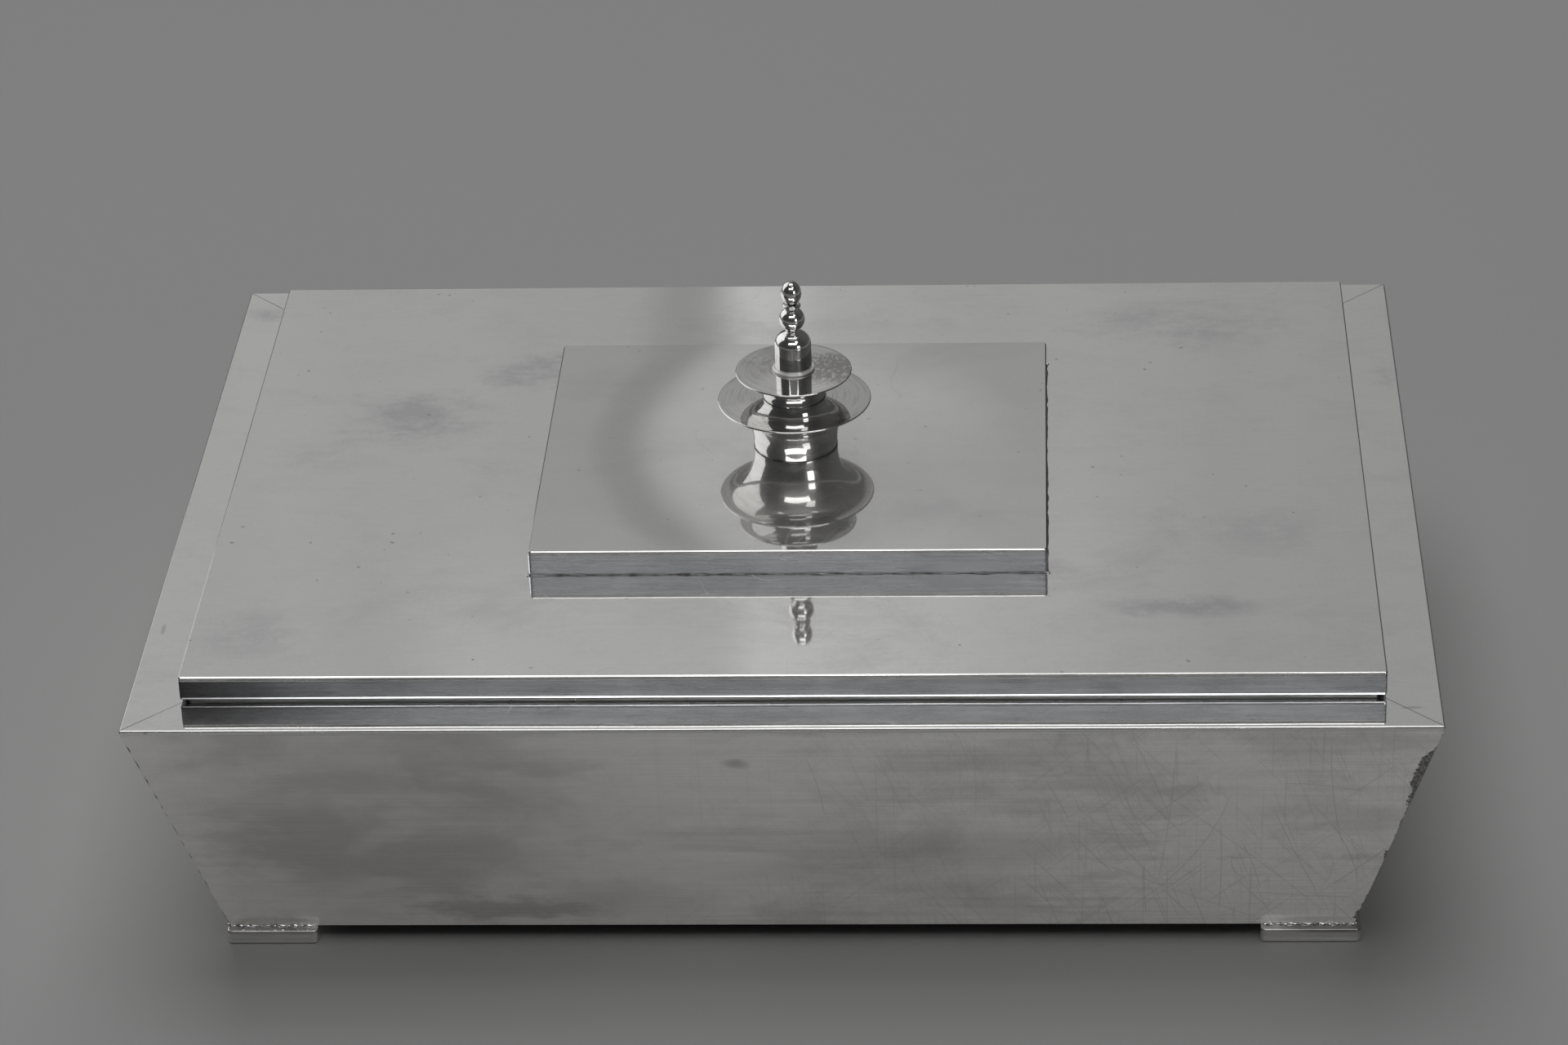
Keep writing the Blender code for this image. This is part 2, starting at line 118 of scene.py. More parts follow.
def sweepSide(profile, half, index, look):
    # One side of a mitred frame. The profile is (outward offset d, height) points. The outer
    # face's corner has a radius R, and a point that lies some depth behind that face has a
    # corner of r = R - depth, never under a hair. Along the side the point lies at
    # s * (half length + d - r) + r * sin(turn), and out from the middle at
    # half depth + d - r + r * cos(turn); the turn runs from -45 to 45 degrees at the corners.
    # The bow lifts the middle of a side by a slow sine along it.
    steps = 6
    bend = np.radians(np.linspace(0, 45, steps + 1))
    straight = np.linspace(-1, 1, 40)
    turn = np.concatenate([-bend[:0:-1], 0 * straight, bend[1:]])[:, None]
    share = np.concatenate([-np.ones(steps), straight, np.ones(steps)])[:, None]
    offset, height = profile.T
    face = offset - look.get("slope", 0) * height
    radius = np.maximum(look["cornerRadius"] - (face.max() - face), hair)
    halfAlong, halfAcross = half if index % 2 == 0 else half[::-1]
    along = share * (halfAlong + offset - radius) + radius * np.sin(turn)
    along *= 1 - look["seam"] / halfAlong
    across = halfAcross + offset - radius + radius * np.cos(turn)
    bow = look.get("bow", 0) * (1 - share ** 2) * np.sin(7 * share + 2 * index)
    angle = index * math.pi / 2
    x = along * math.cos(angle) + across * math.sin(angle)
    y = along * math.sin(angle) - across * math.cos(angle)
    return np.stack([x, y, height + bow + 0 * along], axis=-1)


def platePoints(half, cornerRadius, rows):
    # A plate as rings. A row is (inset, height): its ring is the outline moved inwards by the
    # inset, with quarter circles at its corners, whose radius shrinks with it but stays above
    # a hair.
    rings = []
    for inset, height in rows:
        radius = max(cornerRadius - inset, hair)
        arcs = []
        for index in range(4):
            signX, signY = cornerSigns[(index + 1) % 4]
            centre = (signX * (half[0] - inset - radius), signY * (half[1] - inset - radius))
            arcs.append(ellipseArc(centre, (radius, radius), 90 * index - 90, 90 * index, 7))
        places = np.vstack(arcs)
        rings.append(np.column_stack([places, np.full(len(places), height)]))
    return np.stack(rings)


def lathePoints(profile, steps=144):
    # A profile of (radius, height) points turned about Z.
    radius, height = np.array(profile, float).T[:, :, None]
    return aroundAxis(radius, fullTurn(steps), height)


def beadPoints(path, outward, look, closed=False):
    # A line of solder: a tube about a path, r * (cos t * outward + sin t * sideways). Its radius
    # wanders between a least share and 1 times the given one, smoothly between random values
    # that stand a pitch apart, and lumps on it follow sin(3 t + a wave along the path). Open
    # ends shrink to points as a circle does.
    tangent = np.gradient(path, axis=0)
    sideways = np.cross(tangent, outward)
    sideways /= np.linalg.norm(sideways, axis=1, keepdims=True)
    length = np.linalg.norm(tangent, axis=1).sum()
    draw = np.random.default_rng(look["seed"])
    count = max(int(length / look["pitch"]), 3)
    knots = draw.random(count)
    share = np.linspace(0, 1, len(path), endpoint=not closed)
    whole = np.floor(share * count).astype(int)
    part = share * count - whole
    part = part * part * (3 - 2 * part)
    level = knots[whole % count] * (1 - part) + knots[(whole + 1) % count] * part
    radius = look["radius"] * (look["least"] + (1 - look["least"]) * level)
    if not closed:
        radius *= np.sqrt(1 - np.abs(2 * share - 1) ** look.get("endSharpness", 60))
    turn = fullTurn(14)
    lumps = 1 + 0.12 * np.sin(3 * turn + 40 * share[:, None])
    spread = radius[:, None] * lumps
    out = (spread * np.cos(turn))[..., None] * outward[:, None]
    return path[:, None] + out + (spread * np.sin(turn))[..., None] * sideways[:, None]


def straightBead(start, end, outward, look):
    # A bead of solder on the straight line from start to end, with a station every 0.25 mm.
    start, end = np.array(start, float), np.array(end, float)
    count = max(int(np.linalg.norm(end - start) / (0.25 * mm)), 8)
    share = np.linspace(0, 1, count)[:, None]
    path = start * (1 - share) + end * share
    outward = np.tile(unit(np.array(outward, float)), (count, 1))
    return makeShell(beadPoints(path, outward, look), caps=False)


def ringBead(radius, height, look):
    # A bead of solder round the finial's axis.
    outward = aroundAxis(1, fullTurn(240), 0)
    path = radius * outward + [0, 0, height]
    return makeShell(beadPoints(path, outward, look, closed=True), wrapRows=True)


def lumpShell(centre, radii, phase):
    # A small lump: an ellipsoid whose radius swells by sines of its two angles.
    rise = np.linspace(-math.pi / 2, math.pi / 2, 11)[:, None]
    turn = fullTurn(16)
    swell = 1 + 0.15 * np.sin(2 * turn + phase) * np.cos(rise) + 0.1 * np.sin(3 * rise + phase)
    direction = aroundAxis(np.cos(rise), turn, np.sin(rise))
    return makeShell(np.array(centre) + swell[..., None] * direction * np.array(radii), caps=False)


def gridFaces(rows, columns, wrapRows):
    # Quads between neighbouring rows and columns of a grid whose columns close on themselves.
    index = np.arange(rows * columns).reshape(rows, columns)
    low = index if wrapRows else index[:-1]
    high = np.roll(index, -1, axis=0) if wrapRows else index[1:]
    quads = np.stack([low, np.roll(low, -1, axis=1), np.roll(high, -1, axis=1), high], axis=-1)
    return quads.reshape(-1, 4).tolist()


def makeShell(points, wrapRows=False, caps=True):
    # A grid of points as vertices and faces; one whose rows don't close gets a cap at each end.
    rows, columns = points.shape[:2]
    faces = gridFaces(rows, columns, wrapRows)
    if caps and not wrapRows:
        faces += [list(range(columns)), list(range((rows - 1) * columns, rows * columns))]
    return points.reshape(-1, 3), faces


def addObject(name, data):
    made = bpy.data.objects.new(name, data)
    bpy.context.scene.collection.objects.link(made)
    return made


def addPiece(name, shells, finish, body, *replaced):
    # Joins shells into one mesh, closes its seams and poles, and puts it on its body.
    mesh = bpy.data.meshes.new(name)
    offset, allPoints, allFaces = 0, [], []
    for points, faces in shells:
        allPoints.append(points)
        allFaces += [[corner + offset for corner in face] for face in faces]
        offset += len(points)
    mesh.from_pydata(np.vstack(allPoints), [], allFaces)
    work = bmesh.new()
    work.from_mesh(mesh)
    bmesh.ops.remove_doubles(work, verts=work.verts, dist=joining["reach"])
    bmesh.ops.dissolve_degenerate(work, edges=work.edges, dist=joining["reach"])
    bmesh.ops.recalc_face_normals(work, faces=work.faces)
    work.to_mesh(mesh)
    work.free()
    mesh.shade_smooth()
    mesh.set_sharp_from_angle(angle=math.radians(joining["sharpAngle"]))
    material, slot = finish
    mesh.materials.append(material)
    piece = addObject(name, mesh)
    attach(piece, body)
    if replaced:
        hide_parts(*replaced)


def addFrame(node, profile, half, look, finishes, body):
    # The four sides of a mitred frame, each a piece of its own.
    for index, side in enumerate(sides):
        shell = makeShell(sweepSide(profile, half, index, look))
        finish = finishes[index % len(finishes)]
        addPiece(camelName(f"{node}_{side}"), [shell], finish, body, f"{node}_{side}")


# Shader maths: a wire holds one output socket, and sums on wires add Math nodes

class Wire:
    def __init__(self, socket):
        self.socket = socket

    def add(self, kind, settings=None, values=None, output=0):
        # Any node: its settings come first, then the values or links of its inputs.
        made = self.socket.id_data.nodes.new(kind)
        for name, value in (settings or {}).items():
            setattr(made, name, value)
        for name, value in (values or {}).items():
            if isinstance(value, Wire):
                self.socket.id_data.links.new(value.socket, made.inputs[name])
            else:
                made.inputs[name].default_value = value
        return Wire(made.outputs[output]) if made.outputs else None

    def math(self, operation, *values):
        return self.add("ShaderNodeMath", {"operation": operation}, dict(enumerate(values)))

    def __add__(self, other):
        return self.math("ADD", self, other)

    def __sub__(self, other):
        return self.math("SUBTRACT", self, other)

    def __rsub__(self, other):
        return self.math("SUBTRACT", other, self)

    def __mul__(self, other):
        return self.math("MULTIPLY", self, other)

    __radd__ = __add__
    __rmul__ = __mul__

    def between(self, low, high):
        # 0 below low, 1 above high, and smooth between.
        values = {"Value": self, "From Min": low, "From Max": high}
        return self.add("ShaderNodeMapRange", {"interpolation_type": "SMOOTHSTEP"}, values)

    def most(self, other):
        return self.math("MAXIMUM", self, other)

    def least(self, other):
        return self.math("MINIMUM", self, other)

    def size(self):
        return self.math("ABSOLUTE", self)

    def near(self, low, high):
        # 1 where this wire is within low of 0, and 0 beyond high.
        return 1 - self.size().between(low, high)

    def split(self):
        return [self.add("ShaderNodeSeparateXYZ", None, {"Vector": self}, axis) for axis in range(3)]

    def scaled(self, *factors):
        # By one factor, or by one for each axis.
        values = {0: self, 1: factors * 3 if len(factors) == 1 else factors}
        return self.add("ShaderNodeVectorMath", {"operation": "MULTIPLY"}, values)

    def away(self, place):
        # Distance of a vector from a fixed place.
        return self.add("ShaderNodeVectorMath", {"operation": "DISTANCE"}, {0: self, 1: place}, 1)

    def noise(self, detail=2, roughness=0.5, distortion=0):
        values = {"Vector": self, "Scale": 1, "Detail": detail, "Roughness": roughness}
        return self.add("ShaderNodeTexNoise", None, {**values, "Distortion": distortion})

    def ripples(self, detail=2, roughness=0.5):
        # Noise along one number.
        values = {"W": self, "Scale": 1, "Detail": detail, "Roughness": roughness}
        return self.add("ShaderNodeTexNoise", {"noise_dimensions": "1D"}, values)

    def mixed(self, first, second):
        # A colour that goes from first to second as this wire goes from 0 to 1.
        values = {0: self, 6: first, 7: second}
        return self.add("ShaderNodeMix", {"data_type": "RGBA"}, values, 2)


def joined(x, y, z):
    # One vector from three wires.
    return x.add("ShaderNodeCombineXYZ", None, {0: x, 1: y, 2: z})


def startMaterial(name, slot=None):
    # A new material with the slot that it fills, and its surface's place in millimetres.
    material = bpy.data.materials.new(name)
    material.use_nodes = True
    material.node_tree.nodes.clear()
    place = Wire(material.node_tree.nodes.new("ShaderNodeTexCoord").outputs["Object"])
    return (material, slot), place.scaled(1 / mm)


def endMetal(place, look, colour, share, relief):
    # Polished metal is a sharp mirror under a haze of fine scratches. The relief is in
    # millimetres, and share is how much of the light the haze takes.
    normal = place.add("ShaderNodeBump", None, {"Height": relief, "Distance": mm, "Strength": 1})
    lobes = []
    for roughness, metallic in ((look["mirror"], 1), (look["haze"], look.get("hazeMetal", 1))):
        values = {"Base Color": colour, "Metallic": metallic, "Normal": normal, "Roughness": roughness}
        lobes.append(place.add("ShaderNodeBsdfPrincipled", None, values))
    surface = place.add("ShaderNodeMixShader", None, {0: share, 1: lobes[0], 2: lobes[1]})
    place.add("ShaderNodeOutputMaterial", None, {"Surface": surface})


def tone(level, red=0.0, blue=0.0):
    # A grey with its red and blue raised by a share.
    return (level * (1 + red), level, level * (1 + blue), 1)


def blob(place, centre, reach, wobble):
    # 1 in the middle of an ellipsoid and 0 outside it; the wobble roughens its edge.
    inverse = [1 / size if size else 0 for size in reach]
    distance = place.scaled(*inverse).away([c * i for c, i in zip(centre, inverse)])
    return 1 - (distance + wobble).between(0.2, 1.3)


def arcScratch(flat, points, width):
    # A scratch along the circle through three (x, z) points: 1 where the distance from its
    # centre is near its radius, and fading out towards both ends.
    first, second, last = np.array(points, float)
    squares = np.array([second @ second - first @ first, last @ last - first @ first]) / 2
    centre = np.linalg.solve(np.array([second - first, last - first]), squares)
    fromCentre = flat.away((centre[0], 0, centre[1])) - math.dist(centre, first)
    middle, half = (first + last) / 2, math.dist(first, last) / 2
    fade = flat.away((middle[0], 0, middle[1])).between(0.7 * half, 1.05 * half)
    return fromCentre.near(0.3 * width, width) * (1 - fade)


def hairlines(place, scale, width):
    # Long fine curved scratches, where a smooth noise crosses its middle value.
    return (place.scaled(*scale).noise(1, 0.5, 0.6) - 0.5).near(0, width)


def halfPlan(kind):
    # Half the length and half the depth over the outer faces of a frame of four.
    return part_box(kind + "_right")[1].x, -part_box(kind + "_front")[0].y


caseSlope = 18 / 64.2
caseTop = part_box("wall_front")[1].z / mm
caseHalf = [size / mm for size in halfPlan("wall")]

# Stains on the sheets: x, y, reach in x, reach in y, depth
lidMarks = (
    (-97, 27, 20, 16, 0.9), (-70, 50, 14, 10, 0.7), (-62, 58, 9, 5, 0.6), (92, -70, 20, 5, 0.9),
    (93, 75, 26, 13, 0.6), (-118, 6, 12, 10, 0.35), (113, -34, 16, 12, 0.35),
    (-125, -78, 14, 12, 0.5), (-12, 92, 22, 14, -0.9), (64, -52, 8, 5, 0.45),
    (-56.8, -96.8, 0.5, 0.4, 2.5), (64.1, -99.8, 0.5, 0.6, 2.5), (63.6, 56.7, 0.5, 0.5, 2.0),
)
stepMarks = (
    (-45, 30, 16, 12, 0.5), (38, -38, 20, 10, 0.4), (16.1, 16, 0.5, 0.35, 2.5),
    (17.4, 12.6, 0.6, 0.4, 2.5), (14.4, 2, 0.8, 0.5, 2.2), (19.1, 31, 0.4, 0.4, 2.0),
    (-32.4, -8.2, 0.35, 0.35, 2.0), (-21.5, -31, 0.35, 0.35, 2.0),
)
rimMarks = (
    (-143, 100, 7, 5, 0.6), (146, 60, 5, 8, 0.4), (-146.4, -66, 0.5, 2.5, 1.6),
    (143, -104.5, 2.5, 0.7, 1.6),
)
# The dark edge reflection is the width of a painted dark reflection along a sheet's two ends,
# which stands in for the dark surround that their round edges mirror. The dish is where the
# finial's nut has drawn the sheet down: it rises between two radii by a height.
sheetLook = {"bright": 0.93, "stain": 0.72, "mirror": 0.04, "haze": 0.34, "hazeShare": 0.15}
lidLook = {**sheetLook, "marks": lidMarks, "darkEdgeReflection": 0.32}
stepLook = {
    **sheetLook, "bright": 0.82, "hazeShare": 0.3, "marks": stepMarks, "darkEdgeReflection": 0.36,
    "dish": (10, 60, 0.55),
}
rimLook = {
    **sheetLook, "bright": 0.97, "mirror": 0.03, "hazeShare": 0.12, "marks": rimMarks,
    "darkEdgeReflection": 0.42,
}


def sheetSilver(name, node, look, lengthwise=0.6):
    # Rolled sheet, polished by hand. Lengthwise is the share of the brushing along x.
    finish, place = startMaterial(name, "polished_silver")
    x, y, z = place.split()
    cloud = place.scaled(0.021, 0.026, 0.02).noise(5, 0.62, 0.5)
    small = place.scaled(0.09, 0.11, 0.1).noise(4, 0.65)
    brushing = place.scaled(0.03, 1.4, 1.4).noise(3, 0.6) * lengthwise
    brushing = brushing + place.scaled(1.4, 0.03, 1.4).noise(3, 0.6) * (1 - lengthwise)
    mottle = place.scaled(0.06, 0.08, 0.06).noise(6, 0.75).between(0.36, 0.62)
    stain = cloud.between(0.5, 0.78) * 0.45 + (small - 0.5) * 0.4 + (mottle - 0.5) * 0.16
    wobble = (small - 0.5) * 1.9
    for markX, markY, reachX, reachY, depth in look["marks"]:
        mark = blob(place, (markX, markY, 0), (reachX, reachY, 0), wobble)
        stain = stain + mark * (mottle * 0.8 + 0.35) * depth
    specks = place.scaled(0.5).noise(1).between(0.79, 0.81)
    scuffs = hairlines(place, (0.05, 0.03, 0.05), 0.008) * cloud.between(0.4, 0.6)
    clean, stained = tone(look["bright"], 0.004, -0.012), tone(look["stain"], 0.022, 0.012)
    colour = (stain + brushing * 0.16 - 0.08).mixed(clean, stained)
    # Specks are dark spots in the metal. The band along both ends in x is a painted dark reflection of
    # the surround in the sheet's round edges.
    end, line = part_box(node)[1].x / mm, look["darkEdgeReflection"]
    dark = (specks * 0.5).most(x.size().between(end - line, end - 0.7 * line) * 0.85)
    if node == "rim_right":
        mitre = ((x.size() - y.size()) - (caseHalf[0] - caseHalf[1])).near(0.12, 0.3)
        dark = dark.most(mitre * (small * 1.2).least(1))
    colour = dark.mixed(colour, tone(0.2, 0.05, -0.1))
    share = look["hazeShare"] + (cloud - 0.5) * 0.3 + (small - 0.5) * 0.22
    share = share + (brushing - 0.5) * 0.15 + scuffs * 0.15 + stain * 0.15
    relief = place.scaled(0.02, 0.028, 0.02).noise(1) * 0.07 + brushing * 0.0005
    if "dish" in look:
        inner, outer, rise = look["dish"]
        relief = relief + place.scaled(1, 1, 0).away((0, 0, 0)).between(inner, outer) * rise
    if node == "lid_top":
        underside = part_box(node)[0].z / mm
        dull = 1 - z.between(underside, underside + 0.3)
        share = share + dull * 0.4
        colour = (dull * small).mixed(colour, tone(0.45, 0.03, -0.06))
    endMetal(place, look, colour, share, relief)
    return finish


wallLook = {"tone": 0.98, "shade": 0.68, "mirror": 0.2, "haze": 0.8, "hazeShare": 0.68}
scratchLook = {"width": 0.17, "depth": 0.34, "tone": 0.42}
# Scratches on the front wall, each through three places as (x, z)
frontScratches = (
    ((69.7, 65.4), (69.8, 60.5), (69.3, 55.8)), ((89.8, 64.8), (88.9, 45), (86.0, 16.9)),
    ((102.8, 48.5), (96.5, 31), (73.4, 4.5)), ((83.9, 50.2), (103, 31.2), (125.5, 7.2)),
    ((103.5, 27.2), (104.3, 20.6), (107.2, 18.5)), ((104.9, 31.5), (108.1, 22.8), (109.8, 14.9)),
    ((119.4, 45.0), (127.4, 33.3), (132.3, 16.8)), ((111.6, 43.5), (116.3, 30.7), (124.0, 11.6)),
    ((124.6, 65.1), (125.9, 43.4), (128.9, 27.1)), ((113.3, 50.1), (124, 49.2), (134.1, 46.8)),
    ((102.2, 15.2), (120.4, 13.2), (132.5, 12.6)), ((60.2, 51.4), (63.4, 44), (66.1, 36.8)),
    ((82.9, 24.8), (83.0, 15), (83.6, 5.6)), ((100.1, 38.5), (100.6, 22), (100.3, 7.2)),
    ((66.7, 36.7), (80, 33.6), (98.1, 42.7)), ((67.3, 27.3), (92, 14.2), (112.1, 4.4)),
    ((5.8, 59.5), (8.3, 50), (9.7, 39.7)),
)
# Marks on it: stains, with broad painted shade over its left part and painted light low on its
# right, where the depth is negative: x, z, reach in x, reach in z, depth
frontMarks = (
    (-66, 9, 22, 3.5, 0.8), (-10, 57, 3, 1.6, 0.9), (45, 29, 24, 7, 0.4), (-95, 40, 66, 40, 0.55),
    (-118, 33, 20, 12, 0.4), (-40, 12, 26, 7, 0.35), (14, 22, 30, 6, 0.3),
    (112, 12, 44, 20, -0.5), (-100, 52, 24, 5, 0.3), (118, 40, 14, 6, 0.15),
    (-121, 5, 12, 1.6, 0.8), (121, 5, 12, 1.6, 0.8),
)
# Directions across its many faint scratches: along x, up
faintScratches = ((1.0, 0.0), (0.8, 0.6), (0.7, -0.7), (0.95, 0.3))
# Where the front right corner has lost its solder: height, half height, width
lostSolder = ((54, 10, 3.2), (45, 3, 1.2), (40, 7, 1.1), (27, 2.4, 1.5), (7, 3, 1.8))


def wallSilver(name, front=False):
    # Satin sheet brushed lengthwise. The corner distance adds how far a point lies in from
    # the outer faces of both walls that meet there, so it is 0 along the seam.
    finish, place = startMaterial(name, "satin_silver")
    x, y, z = place.split()
    outward = (z - caseTop) * caseSlope
    inX = outward + caseHalf[0] - x.size()
    inY = outward + caseHalf[1] - y.size()
    corner = inX + inY
    inside = inX.least(inY).between(0.6, 1.0)
    cloud = place.scaled(0.02, 0.02, 0.045).noise(5, 0.62, 0.6)
    small = place.scaled(0.12, 0.12, 0.3).noise(3, 0.6)
    grit = place.scaled(1.3).noise(3, 0.7)
    streaks = place.scaled(0.012, 0.012, 0.45).noise(4, 0.65)
    brushing = place.scaled(0.03, 0.03, 2.6).noise(3, 0.6)
    shade = cloud.between(0.42, 0.66) * 0.5 + (streaks - 0.5) * 0.8
    shade = shade + (brushing - 0.5) * 0.35 + (small - 0.5) * 0.6
    fine = hairlines(place, (0.05, 0.05, 0.11), 0.009)
    fine = fine.most(hairlines(place, (0.14, 0.14, 0.03), 0.012))
    scratches = fine * cloud.between(0.35, 0.6) * 0.18
    if front:
        flat = place.scaled(1, 0, 1)
        worn = x.between(-40, 70)
        scratches = scratches * (worn * 0.8 + 0.2)
        for across, rise in faintScratches:
            turned = joined((x * across + z * rise) * 2.2, x * 0.02, (z * across - x * rise) * 0.03)
            lines = turned.noise(2, 0.5).between(0.6, 0.74)
            scratches = scratches.most(lines * (worn * 0.22 + 0.08))
        for points in frontScratches:
            line = arcScratch(flat, points, scratchLook["width"])
            scratches = scratches.most(line * scratchLook["depth"])
        # The marks add stains, and broad painted shade and painted light that set the wall's tone.
        wobble = (small - 0.5) * 1.5 + (streaks - 0.5)
        for markX, markZ, reachX, reachZ, depth in frontMarks:
            shade = shade + blob(flat, (markX, 0, markZ), (reachX, 0, reachZ), wobble) * depth
    colour = shade.mixed(tone(wallLook["tone"], 0.008, -0.02), tone(wallLook["shade"], 0.012, -0.03))
    colour = scratches.mixed(colour, tone(scratchLook["tone"], 0.02, -0.03))
    tarnish = inside * (cloud.between(0.35, 0.7) * 0.7 + small * 0.2)
    colour = tarnish.mixed(colour, tone(0.42, 0.05, -0.12))
    seamWidth = place.scaled(0.4).noise(2).between(0.45, 0.75) * 0.35 + 0.14
    seam = 1 - (corner - seamWidth).between(-0.08, 0.08)
    width = (grit - 0.5) * 3 - 0.9
    for height, half, reach in lostSolder:
        width = width + (z - height).near(0.3 * half, half) * reach
    lost = (width - corner).between(-0.15, 0.15) * x.between(0, 1) * (0 - y).between(0, 1)
    dark = (seam * 0.75).most(lost * (grit.between(0.35, 0.6) * 0.4 + 0.5))
    colour = dark.mixed(colour, tone(0.13, 0.03, -0.05))
    share = wallLook["hazeShare"] + (cloud - 0.5) * 0.35 + (brushing - 0.5) * 0.3
    share = share + inside * 0.2 + dark * 0.4 + scratches * 0.2
    relief = place.scaled(0.02, 0.02, 0.03).noise(1) * 0.1 + brushing * 0.001
    endMetal(place, wallLook, colour, share, relief - scratches * 0.002 - dark * 0.1)
    return finish


# Blue is how much bluer than grey the metal is, and stain how dark it is at its solder
edgingLook = {
    "tone": 0.97, "shade": 0.52, "blue": 0.04, "stain": 0.5, "mirror": 0.1, "haze": 0.36,
    "hazeShare": 0.26,
}
footLook = {
    "tone": 0.95, "shade": 0.56, "blue": -0.015, "stain": 1, "mirror": 0.1, "haze": 0.5,
    "hazeShare": 0.35,
}


def edgingSilver(name, slot, look, seamHeight, leftShade=0):
    # Narrow strips brushed lengthwise, with long dark streaks, darkened next to their solder.
    # The left shade darkens the left end of the strips.
    finish, place = startMaterial(name, slot)
    x, y, z = place.split()
    streaks = place.scaled(0.025, 0.025, 1.1).noise(4, 0.65)
    brushing = place.scaled(0.06, 0.06, 4.5).noise(3, 0.65)
    cloud = place.scaled(0.04, 0.04, 0.1).noise(3, 0.6)
    shade = (streaks - 0.5) * 1.5 + (brushing - 0.5) * 0.9 + cloud * 0.5
    blue = look["blue"]
    light, dark = tone(look["tone"], -0.5 * blue, blue), tone(look["shade"], -0.5 * blue, 1.3 * blue)
    leftEnd = (1 - x.between(-146, -76)) * leftShade
    colour = leftEnd.mixed(shade.mixed(light, dark), tone(0.06, 0.0, 0.04))
    stain = (z - seamHeight).near(0.1, 0.9) * cloud.between(0.3, 0.6) * look["stain"]
    colour = stain.mixed(colour, tone(0.3, 0.02, -0.03))
    share = look["hazeShare"] + (cloud - 0.5) * 0.4 + (brushing - 0.5) * 0.4
    relief = place.scaled(0.03, 0.03, 0.05).noise(1) * 0.06 + brushing * 0.0012
    endMetal(place, look, colour, share, relief)
    return finish


turnedLook = {"tone": 0.76, "shade": 0.42, "mirror": 0.04, "haze": 0.28, "hazeShare": 0.1}
ringLook = {
    "tone": 0.9, "shade": 0.7, "mirror": 0.2, "haze": 0.5, "hazeShare": 0.75, "hazeMetal": 0.3,
}
# Smudges on the upper disc beside the post: x, y, reach, depth
discMarks = ((9, 0.5, 8, 3.2), (-8, 3, 6, 0.5))


def turnedSilver(name, look):
    # Turned and polished: fine rings by radius and height, and smears that run round the axis.
    # The foot is stained next to the step.
    finish, place = startMaterial(name, "turned_silver")
    x, y, z = place.split()
    square = x * x + y * y
    radius = square.math("SQRT", square)
    angle = x.math("ARCTAN2", x, 0 - y)
    rings = ((radius + z) * 2.4).ripples(4, 0.7)
    smears = joined(radius * 1.3, angle * 1.6, z * 0.5).noise(4, 0.65)
    shade = (rings - 0.5) * 0.7 + smears.between(0.45, 0.7) * 0.4
    if look is turnedLook:
        ledge, disc = (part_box(node)[1].z / mm for node in ("step_top", "finial_upper_saucer"))
        mottle = place.scaled(0.9, 0.5, 0.9).noise(4, 0.75).between(0.38, 0.6)
        shade = shade + (1 - (z - ledge).between(0.1, 1.2)) * smears.between(0.3, 0.6)
        for markX, markY, reach, depth in discMarks:
            smudge = blob(place, (markX, markY, disc), (reach, reach, 1.5), 0)
            shade = shade + smudge * mottle * depth
    colour = shade.mixed(tone(look["tone"], 0.006, -0.014), tone(look["shade"], 0.014, -0.02))
    share = look["hazeShare"] + (rings - 0.5) * 0.25 + (smears - 0.5) * 0.25
    endMetal(place, look, colour, share, rings * 0.0008 + smears * 0.0014)
    return finish


# Patchy finishes: the grain is in patches per millimetre, and the bumps are their relief
innerLook = {
    "light": tone(0.72, 0.01, -0.03), "dark": tone(0.6, 0.02, -0.06), "grain": 0.05,
    "bumps": 0.01, "mirror": 0.25, "haze": 0.5, "hazeShare": 0.7,
}
brightLook = {
    "light": tone(0.88), "dark": tone(0.3, 0.02, -0.03), "grain": 0.8, "bumps": 0.02,
    "mirror": 0.08, "haze": 0.35, "hazeShare": 0.25,
}
ledgeLook = {**brightLook, "light": tone(0.74), "dark": tone(0.06), "grain": 0.9}
darkLook = {
    "light": tone(0.24), "dark": tone(0.05, 0.03, -0.05), "grain": 0.5, "bumps": 0.03,
    "mirror": 0.25, "haze": 0.5, "hazeShare": 0.6,
}
steelLook = {
    "light": tone(0.56, 0.0, 0.01), "dark": tone(0.34, 0.06, -0.1), "grain": 0.6, "bumps": 0.004,
    "mirror": 0.2, "haze": 0.42, "hazeShare": 0.5,
}


def plainFinish(name, slot, look, underside=None):
    # Light metal under darker patches. Under a given height it is left black from soldering.
    finish, place = startMaterial(name, slot)
    patches = place.scaled(look["grain"]).noise(4, 0.65)
    small = place.scaled(6 * look["grain"]).noise(2)
    cover = patches.between(0.38, 0.66) * 0.85 + (small - 0.5) * 0.4
    colour = cover.mixed(look["light"], look["dark"])
    if underside:
        black = 1 - place.split()[2].between(underside, underside + 0.2)
        black = black * (patches * 0.3 + 0.75).least(1)
        colour = black.mixed(colour, tone(0.13, 0.06, -0.1))
    relief = patches * look["bumps"] + small * look["bumps"] * 0.15
    endMetal(place, look, colour, look["hazeShare"] + (patches - 0.5) * 0.6, relief)
    return finish


